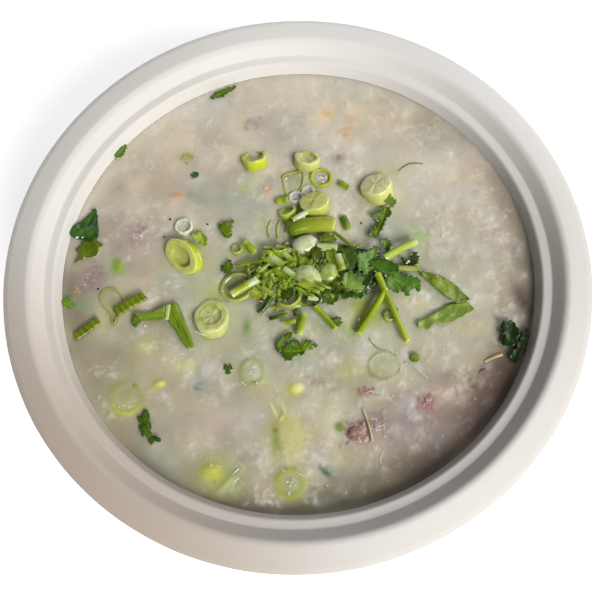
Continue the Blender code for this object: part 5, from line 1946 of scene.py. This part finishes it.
# %% Bubbles and drops
DROP_SIZE = 0.65
SHORE_BUBBLES, LOOSE_BUBBLES = 90, 420
dice = np.random.default_rng(31)
spots = [(x, y, LEVEL + rise) for x, y, rise, radius in DROPS]
sizes = [radius * DROP_SIZE for x, y, rise, radius in DROPS]
for x, y, length, width, turn, count, size in SPARKLES:
    for glint in range(int(count)):
        spot = beside(x, y, turn, length * dice.uniform(-1, 1), width * dice.normal(0, 0.5))
        spots.append((*spot, float(surface_height(*spot)) + 0.1))
        sizes.append(size * dice.uniform(0.5, 1.1))
for bubble in range(SHORE_BUBBLES):
    way = math.radians(dice.uniform(96, 152))
    shore = wall_radius(LEVEL) - dice.uniform(0.0, 0.5)
    spots.append((shore * math.cos(way), shore * math.sin(way), LEVEL + dice.uniform(0.0, 0.3)))
    sizes.append(dice.uniform(0.10, 0.2))
marked = len(spots)
while len(spots) < marked + LOOSE_BUBBLES:
    x, y = dice.uniform(-FOOD_RADIUS, FOOD_RADIUS, 2)
    if math.hypot(x, y) < FOOD_RADIUS and dice.random() < 0.35 + 0.008 * (x - y):
        spots.append((x, y, float(surface_height(x, y)) - 0.05))
        sizes.append(0.10 + 0.24 * dice.random() ** 4)
# Painted highlight: each ball takes the tint of the starch below it, lightened towards white.
tints = []
for k, (x, y, _) in enumerate(spots):
    below = on_canvas(tint, np.array([x]), np.array([y]))[0]
    tints.append((*np.clip(below * 0.4 + (0.6 if k < marked else 0.42), 0, 0.93), 1.0))
start = marked_points("bubble spots", spots, [], sizes, tints)
settle(grow(start, tree, "bubbles", height_share=0.45), "rice_congee")

# %% [markdown]
# ## Wet streaks and pepper
# Where a cut edge is level with the starch, the film over it gives one long glint, painted as a thin pure
# white tube: a painted highlight. Ground pepper is a few black specks about 0.6 mm across.

# %% Streaks and specks
# Rows as for the stems on the heap, but without colours.
STREAKS = table("""
-28.2 -62.6 0 -21.6 -57 0.1 0.15 0.02
-25.6 -62.9 0 -21.8 -59.6 0.1 0.13 0.02
-55.2 -37 -0.1 -50.6 -36.8 -0.1 0.16 -0.12
-18.9 -32 -0.1 -16.6 -33.2 -0.1 0.16 -0.1
-14 -32.8 -0.1 -12.8 -31.4 -0.1 0.13 -0.1
20.6 -27.8 -0.1 23 -27 -0.1 0.12 0.08
27.2 -30 -0.1 27.6 -33.2 -0.1 0.12 0.08
-31 11.6 2.2 -28.4 6.8 2.2 0.16 0.08
-31.4 -15.6 1.6 -26.4 -17.2 1.6 0.14 -0.12
""")
# Painted highlights: pure white tubes.
glints = [straight([*row, "ffffff", "ffffff", "ffffff"]) for row in STREAKS]
settle(stems("wet_streaks", glints, highlight_starch, 0.0, sides=8, rib_depth=0.0), "rice_congee")
# Each row: x, y.
SPECKS = table("""
-39.7 16.7
-37.6 22.6
21.6 14.7
-60.6 1.6
-26 19.6
""")
batch = new_batch()
for seed, spot in enumerate(SPECKS):
    lump(batch, [*spot, 0.0, 0.75, 0.55, 0.5, "14100c", "2c2620", seed * 40], 90 + seed, 0.10)
finish(batch, "pepper_specks", meat_skin, "rice_congee")
